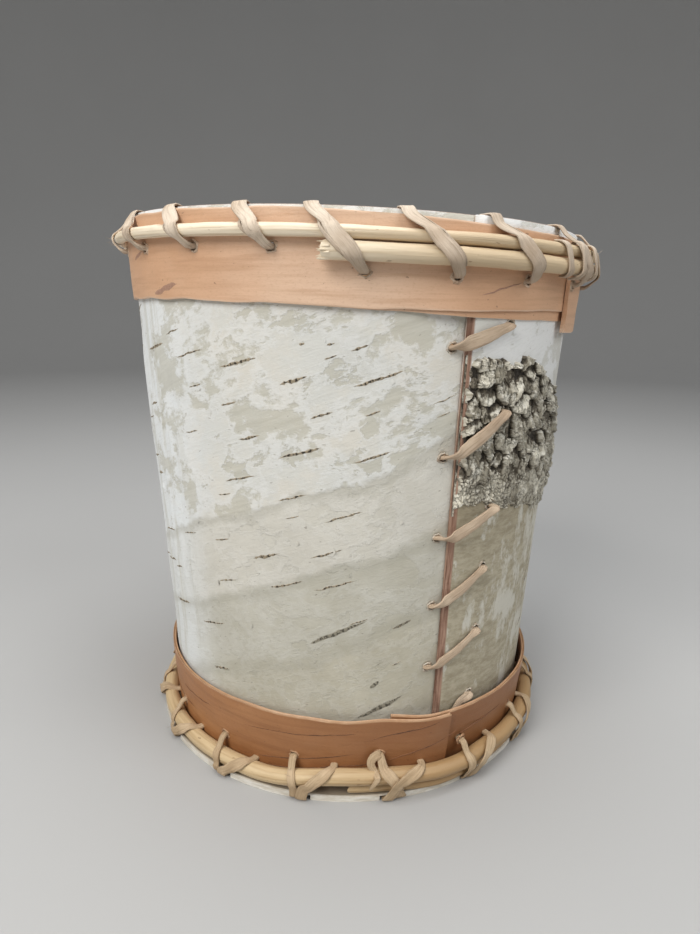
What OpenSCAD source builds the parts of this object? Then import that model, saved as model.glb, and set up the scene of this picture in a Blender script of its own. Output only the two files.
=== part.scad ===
// Birch bark basket. One sheet of bark is rolled into a tapered wall and laced up the lap.
// A bark disc closes the foot, a bark band stiffens each end, and a peeled willow hoop is
// bound to each band with a split-root lashing.
// Angles run round the basket from the front, which is -Y, and grow towards +X.

/* [Wall] */
// Height of the rim above the floor, at the axis
wall_h = 210.4; // [170:0.1:260]
// Outer radius of the wall at floor level
wall_foot_r = 79.1; // [65:0.1:100]
// Outer radius of the wall at rim level
wall_rim_r = 90.7; // [75:0.1:115]
// Thickness of the wall's bark
wall_t = 2; // [1.5:0.1:2.6]
// Angle of the sheet's outer end, where the lap shows
seam_at = 24.5; // [15:0.5:35]
// Angle that the outer end laps over the inner end
wall_lap = 28; // [22:1:36]
// Fall of the rim towards +X, for each millimetre of X
rim_slope = 0.028; // [0:0.001:0.04]

/* [Base] */
// How far the base disc reaches past the foot hoop
disc_past = 0.7; // [0.4:0.1:2]
// Thickness of the base disc
disc_t = 2.2; // [1.8:0.1:3.4]

/* [Bark bands] */
// Thickness of the bark in both bands
band_t = 1.6; // [1:0.1:2.2]
// Height of the rim band
rim_band_h = 28; // [24:0.5:36]
// How far the wall stands above the rim band
rim_reveal = 2; // [1.2:0.1:4]
// Angle of the rim band's loose outer end
tag_at = 55; // [45:1:65]
// Angle that the rim band laps over itself
rim_band_lap = 26; // [20:1:40]
// How far the rim band's outer end hangs low
tag_drop = 4; // [0:0.5:6]
// Height of the foot band's upper edge above the floor
foot_band_top = 32; // [27:0.5:40]
// Angle of the foot band's inner end
foot_band_at = 12; // [5:1:20]
// Angle that the foot band laps over itself
foot_band_lap = 15; // [10:1:30]
// How far the foot band's upper edge leans off the wall
foot_band_flare = 0.6; // [0.2:0.1:1.5]
// How much further it leans at the lap, where the lacing's end is tucked behind it
tuck_flare = 1.8; // [1.6:0.1:3]

/* [Willow hoops] */
// Diameter of the rim hoop at its cut butt
rim_butt_d = 5.8; // [4.5:0.1:6.5]
// Diameter of the rim hoop at its tip
rim_tip_d = 4.1; // [3:0.1:4.5]
// Angle of the rim hoop's butt
rim_butt_at = -4.5; // [-12:0.5:5]
// Angle that the rim hoop runs past its own butt
rim_hoop_lap = 105; // [80:1:110]
// Height of the rim hoop's upper run below the rim
rim_hoop_below = 7.7; // [6:0.1:10]
// Diameter of the foot hoop at its thin tip
foot_tip_d = 4.2; // [3.5:0.1:5]
// Diameter of the foot hoop at its butt
foot_butt_d = 6.4; // [5.5:0.1:7.5]
// Angle of the foot hoop's tip
foot_tip_at = 3; // [-2:0.5:8]
// Angle that the foot hoop runs past its own tip
foot_hoop_lap = 92; // [70:1:100]

/* [Lashings] */
// Turns of the rim lashing
rim_turns = 20; // [16:1:24]
// Angle of one hole of the rim lashing
rim_hole_at = 2.5; // [-3:0.5:6]
// Width of the rim lashing's strip
rim_strip_w = 4.8; // [4:0.1:7.5]
// Pairs of turns in the foot lashing
foot_stitches = 16; // [12:2:18]
// Angle of one hole of the foot lashing
foot_hole_at = 9; // [6:0.5:14]
// Width of the foot lashing's strip
foot_strip_w = 3.4; // [2.4:0.1:3.8]
// Thickness of every lashing strip
strip_t = 0.8; // [0.6:0.05:1]
// Radius of the awl holes that the strips pass through
hole_r = 1.8; // [1.7:0.05:2.2]

/* [Seam lacing] */
// Stitches up the lap
lace_count = 6; // [4:1:7]
// Height of the highest stitch's right-hand hole below the rim
lace_top_below = 34; // [32:0.5:44]
// Height of the lowest stitch's right-hand hole above the foot band
lace_low_above = 2.4; // [2.4:0.2:12]
// Slant of each stitch, as the drop from its right to its left hole
lace_fall = 12; // [8:0.5:14]
// Width of the lacing's strip
lace_w = 4.4; // [3:0.1:5.5]

/* [Rough bark] */
// Angle that the unpeeled rough bark covers, from the lap's edge
rough_span = 47; // [30:1:60]
// Depth of the rough bark's upper edge below the rim, at the lap
rough_below = 46.4; // [44:0.1:65]
// Height of the rough bark, from its lower to its upper edge, at the lap
rough_tall = 49; // [30:1:60]
// Thickness of the rough bark
rough_t = 2.4; // [1.5:0.1:3]

/* [Hidden] */
$fn = 48;

// Clearances between pieces that lie on each other
lap_gap = 0.2;
seat_gap = 0.15;
hoop_gap = 0.3;
strip_gap = 0.4;
groove_gap = 0.3;

// Angles over which a lapped end settles back onto what it lies on, and over which
// a piece laid across that end climbs it
lap_fall = 50;
lap_climb = 16;

// Radius of the base disc, and heights of the rough bark's edges at the lap
disc_r = wall_foot_r + band_t + foot_butt_d + disc_past;
rough_high = wall_h - rough_below;
rough_low = rough_high - rough_tall;

// Steps along the bent sheets and hoops, sides of a hoop's section, and slant of a hoop's cut ends
sheet_step = 4;
hoop_step = 6;
hoop_sides = 10;
hoop_slant = 1.6;

function ease(t) = let (c = min(max(t, 0), 1)) c * c * (3 - 2 * c);
function turn(a) = a - 360 * floor((a + 180) / 360);
function unit(v) = v / norm(v);
function polar(a, r, z) = [r * sin(a), -r * cos(a), z];
function out(a) = [sin(a), -cos(a), 0];
function steps(from, to, size) = let (n = ceil((to - from) / size)) [for (i = [0:n]) from + (to - from) * i / n];

// A bump of height 1 that starts at an angle and stays for a span: it climbs before and settles after
function hump(a, at, stay, climb, fall) = let (d = turn(a - at - stay / 2), side = abs(d) - stay / 2)
    1 - ease(side / (d < 0 ? climb : fall));

// Outer radius of the bark wall away from the lap, and the surfaces built up on it
function wall_r(z) = wall_foot_r + (wall_rim_r - wall_foot_r) * z / wall_h;
function wall_in(z) = wall_r(z) - wall_t;
wall_lean = (wall_rim_r - wall_foot_r) / wall_h;
function wall_lift(a) = (wall_t + lap_gap) * (1 - ease((a - seam_at - wall_lap) / lap_fall));
function seam_cover(a) = (wall_t + lap_gap) * hump(a, seam_at, wall_lap, lap_climb, lap_fall);
function foot_lean(a, z) = z / foot_band_top
    * (foot_band_flare + tuck_flare * hump(a, seam_at, wall_lap, lap_climb, lap_fall));
function rim_out(a, z) = wall_r(z) + seat_gap + seam_cover(a) + band_t
    + (band_t + lap_gap) * hump(a, tag_at, rim_band_lap, lap_climb, lap_fall);
function foot_out(a, z) = wall_r(z) + seat_gap + seam_cover(a) + band_t + foot_lean(a, z)
    + (band_t + lap_gap) * hump(a, foot_band_at, foot_band_lap, lap_fall, lap_climb);
function rim_fall(a) = -rim_slope * wall_rim_r * sin(a);
function rim_z(a) = wall_h + rim_fall(a);

// Joins a row of closed rings into one solid, with flat ends
module loft(rings) {
    m = len(rings[0]);
    n = len(rings);
    sides = [for (i = [0:n - 2], j = [0:m - 1])
        let (p = i * m + j, q = i * m + (j + 1) % m) each [[p, q, q + m], [p, q + m, p + m]]];
    caps = [for (j = [1:m - 2]) each [[0, j + 1, j], [(n - 1) * m, (n - 1) * m + j, (n - 1) * m + j + 1]]];
    polyhedron([for (ring = rings) each ring], concat(sides, caps), convexity = 10);
}

// A strip of bark bent round the basket: its radii and edges are functions of the angle
module bark(angles, inner, thickness, low, high) {
    loft([for (a = angles) let (l = low(a), h = high(a)) [
        polar(a, inner(a, l), l), polar(a, inner(a, l) + thickness, l),
        polar(a, inner(a, h) + thickness, h), polar(a, inner(a, h), h)
    ]]);
}

// A round hole through everything between two radii
module awl_hole(a, z, from, to) {
    translate(polar(a, from, z)) rotate([90, 0, a]) cylinder(r = hole_r, h = to - from);
}

// The willow hoops, each one rod wound a little over one turn and lapped on itself
function along(a, from, lap) = (a - from) / (360 + lap);
function rim_rod_d(a) = rim_butt_d + (rim_tip_d - rim_butt_d) * ease(along(a, rim_butt_at, rim_hoop_lap) * 1.6);
function rim_rod_z(a) = rim_z(a) - rim_hoop_below
    - ((rim_butt_d + rim_tip_d) / 2 + hoop_gap) * (1 - ease((a - rim_butt_at - 135) / 120));
function rim_rod(a) = let (d = rim_rod_d(a), z = rim_rod_z(a)) [rim_out(a, z) + hoop_gap + d / 2, z, d];

function foot_rod_d(a) = foot_tip_d + (foot_butt_d - foot_tip_d) * ease(along(a, foot_tip_at, foot_hoop_lap) * 2.4);
function foot_rod_z(a) = disc_t + hoop_gap + foot_rod_d(a) / 2
    + (foot_rod_d(a - 360) + hoop_gap) * ease((a - foot_tip_at - 334) / 24);
function foot_rod(a) = let (d = foot_rod_d(a), z = foot_rod_z(a)) [foot_out(a, z) + hoop_gap + d / 2, z, d];

// The run of a hoop that lies lowest and the run that lies highest at an angle
function first_run(a, from) = let (d = a - from) from + d - 360 * floor(d / 360);
function last_run(a, from, lap) = let (f = first_run(a, from)) f - from <= lap ? f + 360 : f;
function rim_low(a) = rim_rod(first_run(a, rim_butt_at));
function rim_high(a) = rim_rod(last_run(a, rim_butt_at, rim_hoop_lap));
function foot_low(a) = foot_rod(first_run(a, foot_tip_at));
function foot_high(a) = foot_rod(last_run(a, foot_tip_at, foot_hoop_lap));

module hoop(from, lap, rod) {
    angles = steps(from, from + 360 + lap, hoop_step);
    last = len(angles) - 1;
    loft([for (i = [0:last]) let (a = angles[i], c = rod(a)) [
        for (j = [0:hoop_sides - 1])
            let (s = 360 * j / hoop_sides, slant = i == 0 || i == last ? hoop_slant * cos(s) : 0)
            polar(a + slant, c[0] + c[2] / 2 * cos(s), c[1] + c[2] / 2 * sin(s))
    ]]);
}

// A strip's route is a row of [angle, radius, height, facing, width, thickness]. Facing is the way the
// strip's outer face looks in the radial plane: 0 is away from the axis and 90 is up.
function place(p) = polar(p[0], p[1], p[2]);
function strip_rings(route) = let (n = len(route) - 1) [
    for (i = [0:n])
        let (
            p = route[i],
            along = unit(place(route[min(i + 1, n)]) - place(route[max(i - 1, 0)])),
            facing = cos(p[3]) * out(p[0]) + [0, 0, sin(p[3])],
            across = unit(cross(along, facing)),
            face = cross(across, along)
        )
        [for (c = [[-1, -1], [1, -1], [1, 1], [-1, 1]])
            place(p) + c[0] * p[4] / 2 * across + c[1] * p[5] / 2 * face]
];

// Least distance between the middles of two turns, less the strip's width across
function turn_gap(route, a, b, size) = min([for (i = [0:size - 1], j = [0:size - 1])
    let (p = route[a * size + i], q = route[min(b * size + j, len(route) - 1)])
    norm(place(p) - place(q)) - (p[4] + q[4]) / 2]);
function drop_last(row) = [for (i = [0:len(row) - 2]) row[i]];

// A stop beside a rod, clear of it by half the strip, at an angle round the rod's section
function beside(a, rod, s, f, w, more = 0) = let (d = rod[2] / 2 + strip_gap + strip_t / 2 + more)
    [a, rod[0] + d * cos(s), rod[1] + d * sin(s), f + s, w, strip_t];

// Inside a hole the strip is bunched up. Along the inner face it keeps clear of the wall by a little more
hole_w = 2.2;
hole_t = 1.3;
inside_off = strip_t / 2 + strip_gap + 0.3;

// Rim lashing: out of a hole below the hoop, over the hoop and the rim, and down inside to the next hole
rim_pitch = 360 / rim_turns;
rim_hole_below = 2.6;
rim_lean = 6.5;
function rim_hole_a(i) = rim_hole_at + rim_pitch * (rim_turns / 2 - i);
function rim_hole_z(a) = let (rod = rim_low(a)) rod[1] - rod[2] / 2 - rim_hole_below;
function rim_beside(a, run, s, f, over) = let (
        rod = run(a), z = rod[1] + rod[2] / 2 * sin(s), low = rim_hole_z(a), b = a - rim_lean * (z - low) / (over - low)
    ) beside(b, run(b), s, f, rim_strip_w * (s < -40 ? 0.75 : 1), 0.15);
function rim_turn(i) = let (
        a = rim_hole_a(i), z = rim_hole_z(a), w = rim_strip_w, t = strip_t, f = 360 * i, b = a - rim_lean,
        over = rim_z(b) + strip_gap + t / 2, next = rim_hole_z(a - rim_pitch)
    ) [
        [a, wall_in(z) + wall_t / 2, z, f - 90, hole_w, hole_t],
        [a - 0.2, rim_out(a, z) + 1.1 + 6 * wall_lean, z + 0.1, f - 60, hole_w + 0.6, hole_t],
        for (s = [-55, -25, 0]) rim_beside(a, function(b) rim_low(b), s, f, over),
        for (s = [5, 35, 65]) rim_beside(a, function(b) rim_high(b), s, f, over),
        [b, rim_out(b, over) + 0.6 + 10 * wall_lean, over + 0.2, f + 55, w, t],
        [b - 0.2, wall_in(over) - 0.7, over + 0.15, f + 120, w * 0.9, t],
        [b - 0.6, wall_in(over) - inside_off, over - 2.4, f + 175, w * 0.85, t],
        [b - 3, wall_in(over - 8) - inside_off, over - 8, f + 180, w * 0.75, t],
        [a - rim_pitch + 0.3, wall_in(next) - inside_off, next + 0.4, f + 225, hole_w, hole_t * 0.8]
    ];
rim_route = drop_last([for (i = [0:rim_turns - 1]) each rim_turn(i)]);

// Foot lashing: each stitch is two turns that share a notch at the disc's edge. One leaves a hole above
// the hoop, the other leaves a hole behind the hoop's top edge, and both return through a slit in the disc.
// The very first turn is slack: it bows out to one side on its way down.
foot_pitch = 360 / foot_stitches;
foot_hole_above = 4.2;
back_hole_above = 1.6;
back_turn = 11;
notch_at = [1.2, 3.9];
slit_in = 3;
slit_r = wall_in(disc_t) - slit_in;
slit_hole_r = hole_r + 0.3;
sole = groove_gap / 2 + strip_t / 2;
function foot_hole_a(i) = foot_hole_at + foot_pitch * i;
function foot_hole_z(a, above) = let (rod = foot_high(a)) rod[1] + rod[2] / 2 + above;
function foot_turn(a, notch, above, next_a, next_z, f, slack = 0) = let (
        z = foot_hole_z(a, above), w = foot_strip_w, t = strip_t, d = notch - a, go = next_a - notch,
        b = a + d * 0.15 - 3.5 * slack, c = a + d * 0.35 - 6 * slack, e = a + d * 0.6 - 6 * slack,
        g = a + d * 0.75 - 4 * slack, h = a + d * 0.9 - slack,
        edge = disc_r + strip_gap + t / 2 + 0.1, low = beside(h, foot_low(h), -45, f, w)
    ) [
        [a, wall_in(z) + wall_t / 2, z, f + 90, hole_w, hole_t],
        [a + d * 0.03, foot_out(a, z) + 1.2, z - 0.1, f + 75, hole_w + 0.4, hole_t],
        beside(b, foot_high(b), 70, f, w * 0.8, 0.1 + slack * 0.3),
        beside(c, foot_high(c), 38, f, w, 0.05 + slack * 0.5),
        beside(e, foot_high(e), 5, f, w, slack * 0.5),
        beside(g, foot_high(g), -18, f, w),
        [h, max(low[1], edge) + 0.55, max(low[2], disc_t + t) + 0.6, f - 10, w, t],
        [notch, edge, disc_t * 0.6, f - 25, w, t],
        [notch, disc_r - 1.2, sole, f - 90, w, t],
        [notch, slit_r + 1.6, sole, f - 90, w * 0.8, t],
        [notch, slit_r, disc_t * 0.7, f - 170, hole_w, hole_t],
        [notch + go * 0.03, slit_r - 0.1, disc_t + 2, f - 180, hole_w, t],
        [next_a - 0.2, wall_in(next_z) - inside_off, next_z - 0.4, f - 225, hole_w, hole_t * 0.8]
    ];
function foot_stitch(i) = let (a = foot_hole_a(i), b = a + back_turn, c = a + foot_pitch) concat(
    foot_turn(a, a + notch_at[0], foot_hole_above, b, foot_hole_z(b, back_hole_above), -720 * i, i == 0 ? 1 : 0),
    foot_turn(b, a + notch_at[1], back_hole_above, c, foot_hole_z(c, foot_hole_above), -720 * i - 360));
foot_half = foot_stitches / 2;
function foot_route(first) = drop_last([for (i = [first:first + foot_half - 1]) each foot_stitch(i)]);

// The unpeeled bark on the lap: its edges wander, and its face is cracked into plates
rough_rows = 9;
rough_cols = 14;
function rough_bottom(u) = rough_low - 14 * u + sin(u * 900);
function rough_top(u) = rough_high + 18 * u - 50 * u * u + 1.5 * sin(u * 1080);
function rough_covers(a, z) = let (u = (a - seam_at - 0.8) / rough_span, edge = 4)
    u > -0.02 && u < 1 && z > rough_bottom(u) - edge && z < rough_top(u) + edge;
function rough_face(u, v) = rough_t * (0.62 + 0.38 * cos(u * 1260) * cos(v * 1080));
function rough_point(u, v, raised) = let (
        a = seam_at + 0.8 + rough_span * u, z = rough_bottom(u) + (rough_top(u) - rough_bottom(u)) * v
    ) polar(a, wall_r(z) + wall_lift(a) + seat_gap + (raised ? rough_face(u, v) : 0), z);

// Seam lacing: a stitch slants down across the lap's edge outside, and inside it drops to the next hole
lace_left_at = seam_at - 2.7;
lace_right_at = seam_at + 11;
lace_left_jog = [4.5, -3.5, 1.5, -1, -0.5, 0, 0, 0];
lace_right_jog = [0, -0.5, -6.5, -2.4, 0, 0, 0, 0];
lace_pitch = (wall_h - lace_top_below - foot_band_top - lace_low_above) / (lace_count - 1);
function lace_right_z(i) = wall_h - lace_top_below - lace_pitch * i + lace_right_jog[i];
function lace_left_z(i) = lace_right_z(i) - lace_fall + lace_left_jog[i];
function lace_crosses(i) = let (a = lace_right_at, zr = lace_right_z(i), zl = lace_left_z(i))
    rough_covers(a, zr) || rough_covers((a + seam_at) / 2, (zr + zl) / 2) || rough_covers(seam_at + 1, zl);
function lace_skin(i, z) = wall_r(z) + wall_t + lap_gap + (lace_crosses(i) ? seat_gap + rough_t : 0);
function lace_stitch(i) = let (
        zr = lace_right_z(i), zl = lace_left_z(i), a = lace_right_at, b = lace_left_at, f = -360 * i, edge = seam_at,
        off = strip_gap + strip_t / 2 + 2 * wall_lean - 0.1, rise = (zr - zl) / (a - b), next = lace_right_z(i + 1)
    ) [
        [a, wall_in(zr) - inside_off, zr + 0.3, f + 135, hole_w, hole_t * 0.8],
        [a, wall_r(zr), zr, f + 90, hole_w, hole_t],
        [a - 0.2, lace_skin(i, zr) + off + 0.4, zr - 0.2, f + 60, hole_w + 0.6, hole_t * 0.8],
        [a - 2.5, lace_skin(i, zr) + off + 0.2, zr - 2.5 * rise, f + 5, lace_w, strip_t],
        [a - 6, lace_skin(i, zr) + off + 0.2, zr - 6 * rise, f, lace_w, strip_t],
        [edge + 0.4, lace_skin(i, zl) + off + 0.2, zl + (edge + 0.4 - b) * rise, f, lace_w, strip_t],
        [edge - 0.9, lace_skin(i, zl) + off + 0.2, zl + (edge - 0.9 - b) * rise, f - 25, lace_w * 0.8, strip_t],
        [b + 0.2, wall_r(zl) + 1 + 4 * wall_lean, zl + 0.3, f - 65, hole_w, hole_t * 0.8],
        [b, wall_in(zl) + wall_t / 2, zl, f - 90, hole_w, hole_t],
        [b, wall_in(zl - 2) - inside_off, zl - 0.3, f - 135, hole_w, hole_t * 0.8],
        [b + 2, wall_in(zl - 4) - inside_off, zl - 2, f - 180, lace_w * 0.7, strip_t],
        [a - 2, wall_in(next) - inside_off, next + 2, f - 180, lace_w * 0.7, strip_t]
    ];

// The lowest stitch goes down behind the foot band's upper edge
function lace_end(i) = let (z = foot_band_top, a = lace_right_at - 4) concat(
    [for (k = [0:2]) lace_stitch(i)[k]],
    [for (d = [1, -2.5, -4.5]) [a + d / 2, wall_r(z + d) + wall_t + lap_gap + strip_gap + strip_t / 2 + 0.5, z + d,
        -360 * i, lace_w * 0.8, strip_t]]);
lace_last = lace_count - 1;
lace_route = concat([for (i = [0:lace_last - 1]) each lace_stitch(i)], lace_end(lace_last));

module strip(route) {
    loft(strip_rings(route));
}

module rim_holes(from, to) {
    for (i = [0:rim_turns - 1]) let (a = rim_hole_a(i), z = rim_hole_z(a))
        awl_hole(a, z, wall_r(z) + from, wall_r(z) + to);
}

module foot_holes(from, to) {
    for (i = [0:foot_stitches - 1], h = [[0, foot_hole_above], [back_turn, back_hole_above]])
        let (a = foot_hole_a(i) + h[0], z = foot_hole_z(a, h[1]))
            awl_hole(a, z, wall_r(z) + from, wall_r(z) + to);
}

module lace_holes(from, to) {
    for (i = [0:lace_count - 1]) {
        awl_hole(lace_right_at, lace_right_z(i), wall_r(lace_right_z(i)) + from, wall_r(lace_right_z(i)) + to);
        awl_hole(lace_left_at, lace_left_z(i), wall_r(lace_left_z(i)) + from, wall_r(lace_left_z(i)) + to);
    }
}

hole_reach = 9;

module wall() {
    color("ghostwhite") difference() {
        bark(steps(seam_at, seam_at + 360 + wall_lap, sheet_step),
            function(a, z) wall_in(z) + wall_lift(a), wall_t,
            function(a) disc_t, function(a) rim_z(a));
        rim_holes(-hole_reach, hole_reach);
        foot_holes(-hole_reach, hole_reach);
        lace_holes(-hole_reach, hole_reach);
    }
}

module rough_bark() {
    color("dimgray") difference() {
        loft([for (i = [0:rough_cols]) let (u = i / rough_cols) concat(
            [for (k = [0:rough_rows]) rough_point(u, k / rough_rows, true)],
            [for (k = [0:rough_rows]) rough_point(u, 1 - k / rough_rows, false)]
        )]);
        lace_holes(-hole_reach, hole_reach);
    }
}

module base_disc() {
    color("wheat") difference() {
        cylinder(r = disc_r, h = disc_t);
        for (i = [0:foot_stitches - 1], n = notch_at) rotate(foot_hole_a(i) + n) {
            groove_w = foot_strip_w + 2 * groove_gap;
            groove_h = strip_t + groove_gap;
            translate([-groove_w / 2, -disc_r - 1, -1]) cube([groove_w, disc_r + 1 - slit_r, 1 + groove_h]);
            translate([-groove_w / 2, -disc_r - 1, -1]) cube([groove_w, 3, 1 + groove_h + 0.9]);
            translate([0, -slit_r, -1]) cylinder(r = slit_hole_r, h = disc_t + 2);
        }
    }
}

module rim_band() {
    edge = function(a) rim_fall(a) - tag_drop * (1 - ease((a - tag_at) / 90)) + cos(2 * a + 60);
    color("sandybrown") difference() {
        bark(steps(tag_at, tag_at + 360 + rim_band_lap, sheet_step),
            function(a, z) wall_r(z) + seat_gap + seam_cover(a)
                + (band_t + lap_gap) * (1 - ease((a - tag_at - rim_band_lap) / lap_fall)), band_t,
            function(a) wall_h - rim_reveal - rim_band_h + edge(a), function(a) wall_h - rim_reveal + edge(a));
        rim_holes(-hole_reach, hole_reach);
    }
}

module foot_band() {
    end = foot_band_at + 360 + foot_band_lap;
    tuck = 1.4;
    color("peru") difference() {
        bark(steps(foot_band_at, end, sheet_step),
            function(a, z) wall_r(z) + seat_gap + seam_cover(a) + foot_lean(a, z)
                + (band_t + lap_gap) * ease((a - foot_band_at - 360 + lap_fall) / lap_fall), band_t,
            function(a) disc_t + seat_gap,
            function(a) foot_band_top + tuck * (1 - ease((a - foot_band_at) / lap_fall)));
        foot_holes(-hole_reach, hole_reach);
    }
}

module rim_hoop() {
    color("burlywood") hoop(rim_butt_at, rim_hoop_lap, function(a) rim_rod(a));
}

module foot_hoop() {
    color("burlywood") hoop(foot_tip_at, foot_hoop_lap, function(a) foot_rod(a));
}

module rim_lashing() {
    color("tan") strip(rim_route);
}

module foot_lashing_right() {
    color("tan") strip(foot_route(0));
}

module foot_lashing_left() {
    color("tan") strip(foot_route(foot_half));
}

module seam_lacing() {
    color("peachpuff") strip(lace_route);
}

rim_size = len(rim_turn(0));
foot_size = len(foot_stitch(0)) / 2;
lace_size = len(lace_stitch(0));
right_route = foot_route(0);
echo(rim_lashing_gap = min([for (i = [0:rim_turns - 3]) turn_gap(rim_route, i, i + 2, rim_size)]));
echo(foot_lashing_gap = min([for (i = [0:2 * foot_half - 4]) turn_gap(right_route, i, i + 2, foot_size)]));
echo(seam_lacing_gap = min([for (i = [0:lace_count - 3]) turn_gap(lace_route, i, i + 2, lace_size)]));

wall();
rough_bark();
base_disc();
rim_band();
foot_band();
rim_hoop();
foot_hoop();
rim_lashing();
foot_lashing_right();
foot_lashing_left();
seam_lacing();
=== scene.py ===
# %% [markdown]
# # A birch bark basket
# The real basket is one sheet of white birch bark rolled into a tapered tube and laced up the lap.
# A bark band and a peeled willow hoop stiffen each end, bound on with strips of split root.
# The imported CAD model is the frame: it gives the true sizes and stays in place. Most pieces here are
# finer surfaces that stand for a CAD node, and the rest are marks and loose ends. All are worked out
# as whole numpy arrays and given a procedural finish.

import math

import bpy
import numpy as np
from mathutils import Matrix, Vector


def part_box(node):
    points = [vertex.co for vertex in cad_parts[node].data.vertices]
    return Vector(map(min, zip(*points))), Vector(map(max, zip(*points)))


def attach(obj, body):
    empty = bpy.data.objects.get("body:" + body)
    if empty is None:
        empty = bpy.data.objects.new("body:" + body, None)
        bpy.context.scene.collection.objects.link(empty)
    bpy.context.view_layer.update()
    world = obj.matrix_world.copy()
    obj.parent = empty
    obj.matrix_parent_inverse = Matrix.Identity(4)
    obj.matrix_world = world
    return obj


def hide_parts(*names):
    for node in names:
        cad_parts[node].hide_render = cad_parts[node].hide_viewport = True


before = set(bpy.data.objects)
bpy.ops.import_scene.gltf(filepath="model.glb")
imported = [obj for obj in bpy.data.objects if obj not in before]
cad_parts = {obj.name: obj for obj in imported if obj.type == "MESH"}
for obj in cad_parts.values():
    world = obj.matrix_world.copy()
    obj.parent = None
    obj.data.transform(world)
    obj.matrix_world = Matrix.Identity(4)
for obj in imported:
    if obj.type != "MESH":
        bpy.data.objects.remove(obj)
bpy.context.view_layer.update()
print("CAD nodes:", sorted(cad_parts))

# %% [markdown]
# ## Sizes
# A maker thinks in millimetres and in degrees round the basket, so the lesson does too. Angles start
# at the front and grow towards the right. The numbers are those of the CAD part, so every piece lands
# where its node is.

# %% Sizes of the basket, in millimetres and degrees
mm = 0.001
# Base disc, from the frame
_, disc_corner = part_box("base_disc")
disc_r = disc_corner.x * 1000
disc_t = disc_corner.z * 1000
# Wall, and the lap where it covers itself
wall_h = 210.4
wall_foot_r = 79.1
wall_rim_r = 90.7
wall_t = 2.0
wall_lean = (wall_rim_r - wall_foot_r) / wall_h
rim_slope = 0.028
seam_at = 24.5
wall_lap = 28.0
lap_fall = 50.0
lap_climb = 16.0
# Bands
band_t = 1.6
rim_band_h = 28.0
rim_reveal = 2.0
tag_at = 55.0
rim_band_lap = 26.0
tag_drop = 4.0
foot_band_top = 32.0
foot_band_at = 12.0
foot_band_lap = 15.0
foot_band_flare = 0.6
tuck_flare = 1.8
# Gaps between pieces that touch on the real basket
lap_gap = 0.2
seat_gap = 0.15
hoop_gap = 0.3
strip_gap = 0.4
print(f"wall {wall_h} mm tall, disc radius {disc_r:.1f} mm, disc thickness {disc_t:.1f} mm")


# %% The surfaces that the pieces lie on
def ease(t):
    """0 below 0, 1 above 1, and between them a curve that starts and ends level: 3 t squared less
    2 t cubed."""
    c = np.clip(t, 0, 1)
    return c * c * (3 - 2 * c)


def turn(a):
    """The same angle, brought between -180 and 180 degrees."""
    return (a + 180) % 360 - 180


def hump(a, at, stay, climb, fall):
    """A bump of height 1 from an angle on for a span: it climbs before the span and settles after it."""
    d = turn(a - at - stay / 2)
    return 1 - ease((np.abs(d) - stay / 2) / np.where(d < 0, climb, fall))


def wall_r(z):
    """Outer radius of the wall: a cone, so it grows evenly with height."""
    return wall_foot_r + (wall_rim_r - wall_foot_r) * z / wall_h


def wall_in(z):
    """Inner radius of the wall."""
    return wall_r(z) - wall_t


def wall_lift(a):
    """How far the sheet stands off the cone: one thickness over the lap, easing to nothing after it."""
    return (wall_t + lap_gap) * (1 - ease((a - seam_at - wall_lap) / lap_fall))


def seam_cover(a):
    """The same step as something laid over the lap meets it: a hump at the seam."""
    return (wall_t + lap_gap) * hump(a, seam_at, wall_lap, lap_climb, lap_fall)


def foot_lean(a, z):
    """The foot band leans off the wall in proportion to height, more at the lap."""
    flare = foot_band_flare + tuck_flare * hump(a, seam_at, wall_lap, lap_climb, lap_fall)
    return z / foot_band_top * flare


def rim_out(a, z):
    """Outer radius of the rim band: the wall and the band, with a step where each laps on itself."""
    step = (band_t + lap_gap) * hump(a, tag_at, rim_band_lap, lap_climb, lap_fall)
    return wall_r(z) + seat_gap + seam_cover(a) + band_t + step


def foot_out(a, z):
    """Outer radius of the foot band: as at the rim, and leaning off the wall."""
    step = (band_t + lap_gap) * hump(a, foot_band_at, foot_band_lap, lap_fall, lap_climb)
    return wall_r(z) + seat_gap + seam_cover(a) + band_t + foot_lean(a, z) + step


def rim_fall(a):
    """The rim slopes down towards the right: its height follows the sine of the angle."""
    return -rim_slope * wall_rim_r * np.sin(np.radians(a))


def rim_z(a):
    """Height of the rim."""
    return wall_h + rim_fall(a)


def polar(a, r, z):
    """Points from angle, radius and height. Angle 0 is the front, which is -Y."""
    s = np.radians(a)
    return np.stack(np.broadcast_arrays(r * np.sin(s), -r * np.cos(s), z), axis=-1)


print(f"rim band's outer radius at the front {float(rim_out(0.0, 200.0)):.1f} mm")

# %% [markdown]
# ## Unevenness
# Bark, split root and peeled rods are never even. Value noise gives that: random numbers sit on a
# grid of whole coordinates, and each point takes a smooth blend of the four round it. A few such
# layers, each twice as fine and half as strong, add up to bark. A seed fixes the numbers, so every
# run gives the same basket.

# %% Smooth noise on arrays
noise_grid = 128


def grain(x, y, seed):
    """Smooth noise from -1 to 1: random corner values blended with the ease curve along x and then
    along y."""
    corners = np.random.default_rng(seed).uniform(-1, 1, (noise_grid, noise_grid))
    x, y = np.broadcast_arrays(np.asarray(x, float), np.asarray(y, float))
    i = np.floor(x).astype(int)
    j = np.floor(y).astype(int)
    u = ease(x - i)
    v = ease(y - j)
    left, right = i % noise_grid, (i + 1) % noise_grid
    low, high = j % noise_grid, (j + 1) % noise_grid
    near = corners[left, low] * (1 - u) + corners[right, low] * u
    far = corners[left, high] * (1 - u) + corners[right, high] * u
    return near * (1 - v) + far * v


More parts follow.
